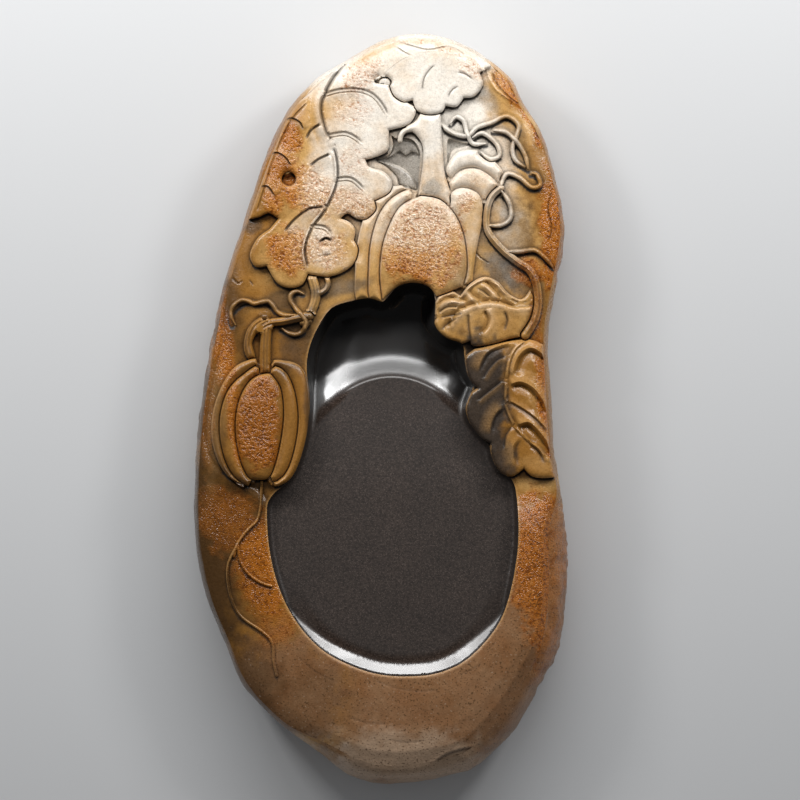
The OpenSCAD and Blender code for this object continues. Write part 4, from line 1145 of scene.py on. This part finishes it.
def carve(node, material, shape, cuts=(), step=0.42, flush=(), wave=0.1, pitting=0.2, lowest=None,
          core=0.0):
    """A carved form: a closed piece that fills its CAD node's outlines and stands on the ground."""
    corners, faces, says = [], [], []
    start = 0
    for outer, holes in grouped(form_rings[node]):
        keep = np.ones(len(outer), bool)
        for other in flush:
            for ring in form_rings[other]:
                keep &= gap(outer, ring) > FLUSH_REACH
        if not keep.all():
            outer = outer - to_left(outer, closed=True) * np.where(keep, 0, FLUSH_OVERLAP)[:, None]
        side = keep & np.roll(keep, -1)
        side = side if side.any() else np.ones(len(outer), bool)
        rings = [outer, *holes]
        top, sides = meshed(rings, form_points(rings, cuts, step))
        depth = gap(top, outer, keep=side)
        for ring in holes:
            depth = np.minimum(depth, gap(top, ring))
        body = shape(depth, not says, top)
        rise, dark = carved_lines(top, cuts)
        words = tints(top)
        rough = words["rust"] * ease(depth / PITS_FROM_EDGE)
        pits = pitting * rough * np.clip(words["pits"] * 2.0 - 0.2, -0.3, 1)
        waves = wave * (grain(top, 7, 11) + 0.5 * grain(top, 2.4, 12))
        level = ground(top) if lowest is None else np.full(len(top), lowest)
        z = level + body + (rise + waves) * ease(depth / CUTS_FROM_EDGE) - pits
        z = np.where(z > LIMIT_FROM, LIMIT_FROM + LIMIT_BAND * np.tanh((z - LIMIT_FROM) / LIMIT_BAND), z)
        # Painted shade in the cuts' hollows; a painted highlight on raised lines and on edges facing the
        # lamps.
        words["hollow"] = 0.9 * dark
        lit = np.where(inside(top + LIT_EDGE, rings), 0, LIT_EDGE_HIGHLIGHT)
        words["worn"] = np.clip(words["worn"] + rise / 0.6 + lit, 0, 1.3)
        words["core"] = np.maximum(words["core"], core)
        border = np.unique(border_of(sides))
        for word in words:
            words[word] = np.concatenate([words[word], words[word][border]])
        # The skirt's walls are painted in shade.
        words["hollow"][len(top):] = SKIRT_SHADE
        closed, closed_faces = closed_down(np.column_stack([top, z]), sides, level - FOOT_SINK)
        corners.append(closed)
        faces += [tuple(int(i) + start for i in face) for face in closed_faces]
        says.append(words)
        start += len(closed)
    said = {word: np.concatenate([w[word] for w in says]) for word in says[0]}
    make_piece(node, np.vstack(corners), faces, material, said)


LEAF_HEIGHT = 3.2
leaf_stone = stone_paint("carved_stone")
VEIN_RIGHT = [
    (-3.6, 0), (-1.0, 0.32), (-0.6, -0.2), (-0.2, 0.42), (0.12, 0.42), (0.5, -0.65), (0.75, -0.65), (1.2, 0),
    (3, 0)
]
VEIN_LEFT = [(-3, -0.1), (-0.8, -0.05), (-0.3, -0.8), (0, -0.8), (0.45, 0.5), (1.2, 0.42), (4, 0)]
MIDRIB = [(-1.5, 0), (-0.7, -0.12), (-0.35, 0.55), (0.0, 0.5), (0.35, -0.85), (0.7, -0.85), (1.3, 0.0)]
FACET = [(-4.4, 0), (-3.6, -0.4), (-0.6, 0.9), (0.3, 0)]
CURL = [(-1.4, 0), (-0.5, -0.15), (0, -0.6), (0.35, 0.4), (1.4, 0.35), (4.0, 0)]

# The large leaf of the upper left is cut in the ochre layer under the skin. It has a proud midrib,
# arched veins, curled lobes and an insect's hole, and each vein is cut down along one side only.
LEFT_MIDRIB = [
    (-12.4, 117.5), (-17.5, 110), (-20.2, 103), (-19, 95.3), (-15.8, 87.5), (-15, 78), (-18.6, 68.5),
    (-23.6, 61.5), (-26, 54), (-24.6, 46.5)
]
LEFT_LEAF_RIGHT_VEINS = [
    [(-19, 106.2), (-14, 107.6), (-8, 107.9), (-3, 106.4), (0.4, 103), (2.6, 98.8)],
    [(-17.5, 92.3), (-12, 93.1), (-8, 91.3), (-5.8, 89)],
    [(-15, 77.5), (-10.5, 77.8), (-7.5, 76), (-5.3, 73.3)],
    [(-22.8, 61.8), (-18.5, 61), (-16.2, 58)]
]
LEFT_LEAF_LEFT_VEINS = [
    [(-20, 96.4), (-23.4, 94.2), (-25, 91)],
    [(-16.8, 86.3), (-21, 84.3), (-24, 81.8)],
    [(-19, 68.3), (-24, 67.6), (-29, 64), (-32.5, 59.8)]
]
LEFT_LEAF_CURLS = [
    [(-33, 98), (-30, 98.6), (-27, 97), (-26, 94.5)],
    [(-37.5, 86.5), (-35, 86.9), (-32.5, 85.6), (-31, 83.8), (-30.2, 82.3)],
    [(-40.5, 75.2), (-38.5, 75.6), (-37, 74.2), (-35.7, 72)]
]
LEFT_LEAF_HEM = [(-24.5, 104.6), (-29.5, 99.6), (-33.2, 93.2), (-37.2, 83.5), (-40.4, 73), (-42.4, 67)]
HEM = [(-0.8, 0), (-0.3, 0.3), (0.1, 0.3), (0.5, -0.3), (1.0, 0)]
KNOT = [(-2.2, 0), (-1.6, -0.35), (-1.0, 0.35), (0, 0.5), (1.0, 0.35), (1.6, -0.35), (2.2, 0)]
KNOT_LINE = [(-19.8, 53.4), (-16.8, 53.8)]
KNOT_VEIN = [(-20.8, 56.6), (-18.4, 58), (-16, 57)]
left_leaf_cuts = cuts_along([LEFT_MIDRIB], MIDRIB, 0.5, 4)
left_leaf_cuts += cuts_along([LEFT_MIDRIB[:5]], FACET, 1, 8)
left_leaf_cuts += cuts_along([LEFT_LEAF_HEM], HEM, 2, 2)
left_leaf_cuts += cuts_along([KNOT_LINE], KNOT, 0.8, 0.8)
left_leaf_cuts += cuts_along([KNOT_VEIN], VEIN_LEFT, 1, 1)
left_leaf_cuts += cuts_along(LEFT_LEAF_RIGHT_VEINS, VEIN_RIGHT, 1, 3)
left_leaf_cuts += cuts_along(LEFT_LEAF_LEFT_VEINS, VEIN_LEFT, 1, 2)
left_leaf_cuts += cuts_along([curl[::-1] for curl in LEFT_LEAF_CURLS], turned_over(CURL), 1, 1)
carve("left_leaf", leaf_stone, pillow(LEAF_HEIGHT, 1.6), left_leaf_cuts,
      flush=["crown_skin"], pitting=0.28)

# The leaf below the crown is broad and low. It is cut in the same ochre layer, with curled lobes
# that only soft lines divide.
TOP_LEAF_LINES = [
    [(19, 116.9), (16.5, 114.5), (14.8, 111.5), (14.4, 107.5)],
    [(25.8, 114.1), (28, 113.8), (30, 112.8), (31.8, 111.3)],
    [(27, 109.4), (24.8, 108.3), (23.5, 106.5), (23.3, 105)]
]
SOFT_LINE = [(-1.6, 0.12), (-0.5, 0.05), (0, -0.4), (0.5, 0.1), (2.2, 0)]
top_leaf_cuts = cuts_along(TOP_LEAF_LINES, SOFT_LINE, 1.5, 1.5)
carve("top_leaf", leaf_stone, pillow(LEAF_HEIGHT, 1.6), top_leaf_cuts,
      flush=["crown_skin"], pitting=0.08)

# Between the leaves and the top edge the river skin is left on. Nothing is carved in it, and hair
# cracks that the river left run across it.
CROWN_CRACKS = [
    [(1, 113), (6, 117), (10, 119), (17, 119.4), (22, 118.4), (27, 117)],
    [(4, 124), (8, 121), (12, 119)],
    [(5, 125), (15.6, 121.8), (24.1, 122.8), (30.3, 118.7), (34.3, 114.6)]
]
HAIR_CRACK = [(-0.5, 0), (0, -0.22), (0.4, 0.1), (0.9, 0)]
crown_cuts = cuts_along(CROWN_CRACKS, HAIR_CRACK, 3, 3)
carve("crown_skin", leaf_stone, pillow(LEAF_HEIGHT, 2.6, base=0.35), crown_cuts,
      flush=["top_leaf", "left_leaf"])

# The ruffled leaf is seen from its side: its blade is gathered in soft folds that fan out from a
# midrib, and its upper edge is turned up.
FOLD = [(-2.6, 0), (-1.1, -0.95), (-0.2, 0.65), (0.4, 0.8), (1.2, 0.35), (3.2, 0)]
CREASE = [(-1.8, 0), (-0.4, -0.5), (0.3, 0.3), (1.9, 0)]
RUFFLED_HEM = [
    (19, 30.8), (19.2, 35), (21, 38.2), (24.4, 39), (27, 37.6), (30.6, 41.4), (35.3, 43.8), (39.6, 42.2),
    (43, 38.7), (47.6, 36.6)
]
RAISED = [(-0.9, 0.3), (-0.5, 0.5), (0.1, 0.45), (0.8, -0.25), (1.8, 0)]
RUFFLED_MIDRIB = [
    (53.7, 34.6), (49.3, 33.9), (45.2, 33.9), (40.5, 35.2), (35.7, 35.4), (31, 34.2), (27.5, 32.6),
    (24.8, 29.2), (24.1, 25.4)
]
RUFFLED_TURN = [
    (52.6, 38.6), (51.6, 36.4), (48.6, 35.2), (45.6, 35.6), (43.2, 37.6), (41.8, 39.6), (39.8, 41.4)
]
RUFFLED_FOLDS = [
    [(29.6, 35.4), (25.5, 36.6), (21.4, 35.6), (19.2, 33)],
    [(40.4, 36.6), (38.6, 39), (36.5, 41.2), (34.2, 42.8)],
    [(34, 36), (31, 37.6), (28.8, 40.6)],
    [(36.4, 34), (37.9, 30.6), (37, 27.2), (34.3, 24.2)]
]
RUFFLED_CREASES = [
    [(30.3, 32.6), (30.6, 27.2), (31.3, 22.8)],
    [(28.4, 32), (24.6, 31.4), (20, 30.4)],
    [(26.6, 30.8), (22.6, 28), (20.4, 25.6)],
    [(26.8, 34.2), (22.6, 34), (19.6, 31.6)],
    [(42.6, 33.6), (43.6, 30), (42.4, 26)],
    [(37.4, 37.4), (35, 39.4), (32, 41)]
]
ruffled_cuts = cuts_along([RUFFLED_MIDRIB], FOLD, 1, 3)
ruffled_cuts += cuts_along([RUFFLED_TURN], turned_over(RAISED), 1, 1)
ruffled_cuts += cuts_along(RUFFLED_FOLDS, FOLD, 1, 2)
ruffled_cuts += cuts_along(RUFFLED_CREASES, CREASE, 1, 2)
ruffled_cuts += cuts_along([RUFFLED_HEM], turned_over(RAISED), 1, 1)
carve("ruffled_leaf", leaf_stone, pillow(LEAF_HEIGHT, 1.4), ruffled_cuts, wave=0.18)

# The leaf at the right of the pool rolls in broad ribs from its midrib, and its left half is cut
# in the grey core of the stone.
ROLL = [(-4.2, 0), (-2.6, -0.6), (-1.2, -1.25), (-0.4, 0.0), (0.1, 0.85), (0.9, 0.75), (2.4, 0.4), (4.6, 0)]
ROLL_LEFT = [(-4.2, 0), (-1.6, 0.35), (-0.3, 0.5), (0.3, -0.05), (0.9, -0.55), (2.0, -0.3), (3.6, 0)]
RIGHT_MIDRIB = [
    (52.4, 29.9), (49.3, 24), (45.4, 19.9), (43.5, 15), (42.8, 8.2), (42.8, 1.4), (45.2, -4.8), (49.3, -9.5),
    (56, -15.6), (58, -18)
]
THIN_RIB = [(-1.6, 0), (-0.7, -0.25), (-0.2, 0.45), (0.2, 0.45), (0.7, -0.25), (1.6, 0)]
RIGHT_LEAF_RIGHT = [
    [(44.9, 11.2), (45.9, 15.6), (47.9, 19), (51.3, 20.7), (55.4, 18.4), (58.6, 14)],
    [(43.6, 8), (46.6, 9.2), (49.3, 8.8), (52.7, 6.5), (55.4, 2.7), (57.4, -2)],
    [(46.2, -5.6), (50, -4.4), (52.7, -6.1), (56.1, -10.2), (59.4, -16)]
]
RIGHT_LEAF_LEFT = [
    [(45.6, 22.4), (40.5, 21.1), (36.4, 19), (34.3, 15.6), (33.3, 12)],
    [(42.5, 1.4), (39.1, -2), (37.7, -5.4), (37.4, -9)],
    [(48, -9.4), (45.6, -12.2), (45.4, -15.6), (46.2, -20)]
]
RIGHT_LEAF_CREASES = [
    [(43.2, 3), (48, 0.4), (53, -3.2), (57.4, -8)],
    [(51, -11.6), (54, -14), (56.6, -18.6)],
    [(43.4, 17.6), (40.2, 16.4), (37, 13), (35, 9.4)],
    [(42.6, 10), (39.4, 7.4), (35.6, 4.4), (32.8, 2)],
    [(45.4, -6), (43, -9.4), (42.4, -14)]
]
right_leaf_cuts = cuts_along([RIGHT_MIDRIB], THIN_RIB, 1, 1)
right_leaf_cuts += cuts_along(RIGHT_LEAF_RIGHT, ROLL, 2, 2)
right_leaf_cuts += cuts_along(RIGHT_LEAF_CREASES, CREASE, 1.5, 2)
right_leaf_cuts += cuts_along(RIGHT_LEAF_LEFT, ROLL_LEFT, 3, 3)
carve("right_leaf", leaf_stone, pillow(LEAF_HEIGHT, 2.0), right_leaf_cuts, wave=0.15)

# Far back, in the undercut pockets, lie two lobes of another leaf. They are cut low in the grey
# core, and the light hardly reaches them.
BACK_STEP = 0.4
back_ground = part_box("back_leaf")[0].z / MM
form_rings["back_leaf"] = []
for ring in outlines("back_leaf", back_ground):
    form_rings["back_leaf"].append(smooth(ring, BACK_STEP, closed=True, corner=RING_CORNER))
carve("back_leaf", leaf_stone, pillow(1.8, 1.6, base=0.3), wave=0.25, lowest=back_ground,
      core=1.0)

# The melons hang in ribs, cut in rust-stained stone: each rib is round across, and a melon falls
# away to its ends. Its front rib is the largest, and keeps the pits of the river skin.
MELON_HEIGHT = 4.6
MELON_DOME = 0.35
MELON_FOOT = 0.55
MELON_STEP = 0.36
FRONT_ROUND = 4.2
RIB_ROUND = 3.0
SIDE_RIBS_LOWER = 0.45


def melon(middle, half):
    """The shape of a melon's ribs, from the middle of the melon and its half width and length."""
    def shape(depth, front, points):
        from_middle = (((points - placed(middle)) / half) ** 2).sum(1)
        whole = np.sqrt(np.clip(1 - MELON_DOME * from_middle, 0.05, 1))
        height = MELON_HEIGHT if front else MELON_HEIGHT - SIDE_RIBS_LOWER
        across = rounded(depth / (FRONT_ROUND if front else RIB_ROUND))
        return height * whole * (MELON_FOOT + (1 - MELON_FOOT) * across)
    return shape


melon_stone = stone_paint("melon_stone", roughness=0.35)
carve("middle_melon", melon_stone, melon((14, 54), (26, 26)), step=MELON_STEP,
      pitting=0.24, wave=0.06)
carve("back_melon", melon_stone, pillow(3.3, 2.6, base=0.4), wave=0.06)
carve("left_melon", melon_stone, melon((-40.5, -5), (22, 26)), step=MELON_STEP,
      pitting=0.22, wave=0.06)

# The stalks and the thick vines are round cords of ochre stone, fluted lengthwise with a knife.
# The hooked leaf is cut in the same way, as it is hardly wider than they are.
FLUTES = [(-1.2, 0), (-0.7, -0.3), (-0.1, 0.15), (0.5, -0.3), (1.1, 0.1), (1.5, 0)]
STEM_FLUTES = [(-2.4, 0), (-1.6, -0.2), (0, 0.1), (1.6, -0.2), (2.4, 0)]
STEM_LINE = [(17.4, 99), (17.6, 92), (18, 82), (19, 70)]
stem_cuts = cuts_along([STEM_LINE], STEM_FLUTES, 4, 4)
carve("middle_stem", leaf_stone, pillow(3.0, 2.4, base=0.45), stem_cuts)
MAIN_VINE = [
    (41.2, 75), (38, 72), (36.3, 67), (36.6, 60.5), (41.2, 54.4), (46.5, 50), (50.8, 47), (53, 42.7),
    (53.7, 36), (52.4, 30), (49.3, 25)
]
LEFT_STALK = [(-39, 10), (-39, 20), (-38.4, 29)]
LEFT_VINE = [(-40.6, 27.6), (-37.5, 29.2), (-33, 29.8), (-27.4, 31), (-24, 31.6)]
HOOK = [(-40, 30.4), (-42.6, 28.6), (-44.4, 25.4), (-45, 21.4), (-44, 17.6)]
LEAF_STALK = [(-25.4, 29), (-22.8, 34.4), (-21.8, 39.6), (-23.8, 46.5)]
FLUTED = {
    "main_vine": MAIN_VINE, "left_melon_stalk": LEFT_STALK, "left_vine": LEFT_VINE, "hooked_leaf": HOOK,
    "left_leaf_stalk": LEAF_STALK
}
for node, path in FLUTED.items():
    joined = [other for other in ("left_vine", "hooked_leaf", "left_melon_stalk") if other != node]
    carve(node, leaf_stone, pillow(3.0, 1.5, base=0.3), cuts_along([path], FLUTES, 1, 1),
          step=0.35, wave=0.04, flush=joined)

# A tendril is a thin round cord that is cut free along both sides and tapers to its ends. Where
# strands cross, the later one of its list lies over the earlier ones.
TENDRILS = {
    "left_tendril": [
        [(-49, 28.4), (-50.5, 31.3), (-50.5, 33.8), (-49, 35.9), (-46.8, 37), (-44.6, 36.6), (-42.9, 35.8),
         (-40.4, 36.3), (-37.9, 36.6), (-36.2, 35), (-34.7, 32.9), (-32, 31.8), (-28.6, 32)],
        [(-25.9, 39), (-28.1, 40), (-30, 39.2), (-30.6, 37.2), (-28.8, 34.3), (-26.4, 31.6), (-25.1, 29.4),
         (-25.9, 26.9), (-28.1, 25.4), (-31, 25.8), (-33.4, 27.4)]
    ],
    "twisted_vine": [
        [(20.5, 97), (24, 94), (29.5, 92.6), (33, 95.4), (38, 97.2), (43, 99.3), (47, 96.5), (46.4, 92.6),
         (45, 88.5), (46, 84.5), (49.4, 82)],
        [(38.5, 94.5), (43, 93.8), (47, 90), (49.5, 85.5), (50.3, 81.4)]
    ],
    "curled_tendril": [
        [(24, 97), (26, 99), (28.4, 97.6), (29.6, 93.5), (31.6, 90), (36, 90)],
        [(31.3, 92), (35, 93.5), (39.5, 90), (40.6, 86), (37.5, 84.8), (34.3, 87)]
    ],
    "looped_tendril": [
        [(51.4, 80), (53.4, 79.4), (54.4, 76), (51.5, 75.2), (47.5, 78.4), (43.5, 79.8), (41.6, 77.5),
         (41, 74)],
        [(41.2, 74), (43.9, 70), (44.4, 65), (41.4, 62.4), (36.6, 62.2)]
    ],
    "vine_branch": [[(43, 53.4), (47.5, 53.4), (52.4, 53.9), (56, 51.4), (58.8, 48)]],
}
ROUND = 10
OVER = ("left_vine", "left_leaf_stalk", "main_vine")
STRAND_STEP = 0.35
STRAND_HALF = 0.78
STRAND_HEIGHT = 1.9
STRAND_LIFT = 1.1
STRAND_TAPER = 4.0
CROSSING_REACH = 1.6
OVER_LIFT = 1.4
OVER_REACH = 0.9
# Each cord has a painted highlight along its crest and painted shade at its foot.
STRAND_HIGHLIGHT = [0, *(max(0, math.sin(math.pi * k / ROUND)) ** 3 for k in range(ROUND + 1)), 0]
STRAND_SHADE = [0.9, 0.6, *[0.1] * (ROUND - 1), 0.6, 0.9]
laid = []


def strands(node, paths):
    """Cords of stone along paths, thin at both ends, each of which rises over what it crosses."""
    corners, faces, worn, dark = [], [], [], []
    start = 0
    count = ROUND + 3
    for path in paths:
        line = placed(smooth(path, STRAND_STEP))
        along = np.arange(len(line)) * STRAND_STEP
        size = 0.35 + 0.65 * ease(along / STRAND_TAPER) * ease((along[-1] - along) / STRAND_TAPER)
        size *= 1 + 0.10 * grain(line, 2.2, 41)
        crossed = np.zeros(len(line))
        for other in laid:
            crossed = np.maximum(crossed, np.exp(-(near(line, other)[0] / CROSSING_REACH) ** 2))
        for other in OVER:
            for ring in form_rings[other]:
                beyond = np.where(inside(line, [ring]), 0, gap(line, ring))
                crossed = np.maximum(crossed, OVER_LIFT * np.exp(-(beyond / OVER_REACH) ** 2))
        level = ground(line) + STRAND_LIFT * crossed
        foot = ground(line) - FOOT_SINK
        across = to_left(line)
        rows = [line - across * (STRAND_HALF * size)[:, None]]
        heights = [foot]
        for step in range(ROUND + 1):
            a = math.pi * step / ROUND
            rows.append(line - across * (STRAND_HALF * size * math.cos(a))[:, None])
            heights.append(level + STRAND_HEIGHT * size * (0.25 + 0.75 * math.sin(a) ** 0.8))
        rows.append(line + across * (STRAND_HALF * size)[:, None])
        heights.append(foot)
        cord = np.dstack([np.array(rows), np.minimum(np.array(heights), TOP_Z)])
        corners.append(cord.transpose(1, 0, 2).reshape(-1, 3))
        worn.append(np.tile(STRAND_HIGHLIGHT, len(line)))
        dark.append(np.tile(STRAND_SHADE, len(line)))
        for i in range(start, start + (len(line) - 1) * count, count):
            for k in range(count):
                j = (k + 1) % count
                faces.append((i + k, i + j, i + count + j, i + count + k))
        faces.append([start + k for k in range(count)][::-1])
        start += count * len(line)
        faces.append([start - count + k for k in range(count)])
        laid.append(line)
    corners = np.vstack(corners)
    says = tints(corners[:, :2], worn=np.concatenate(worn), hollow=np.concatenate(dark))
    make_piece(node, corners, faces, leaf_stone, says)


for node, paths in TENDRILS.items():
    strands(node, paths)

# The trailing tendril is a thin raised line that wanders over the left of the low skin. It stands
# hardly a millimetre proud, and is carved like the larger forms.
carve("trailing_tendril", leaf_stone, pillow(0.7, 0.5, base=0.3), step=0.3, wave=0.03)
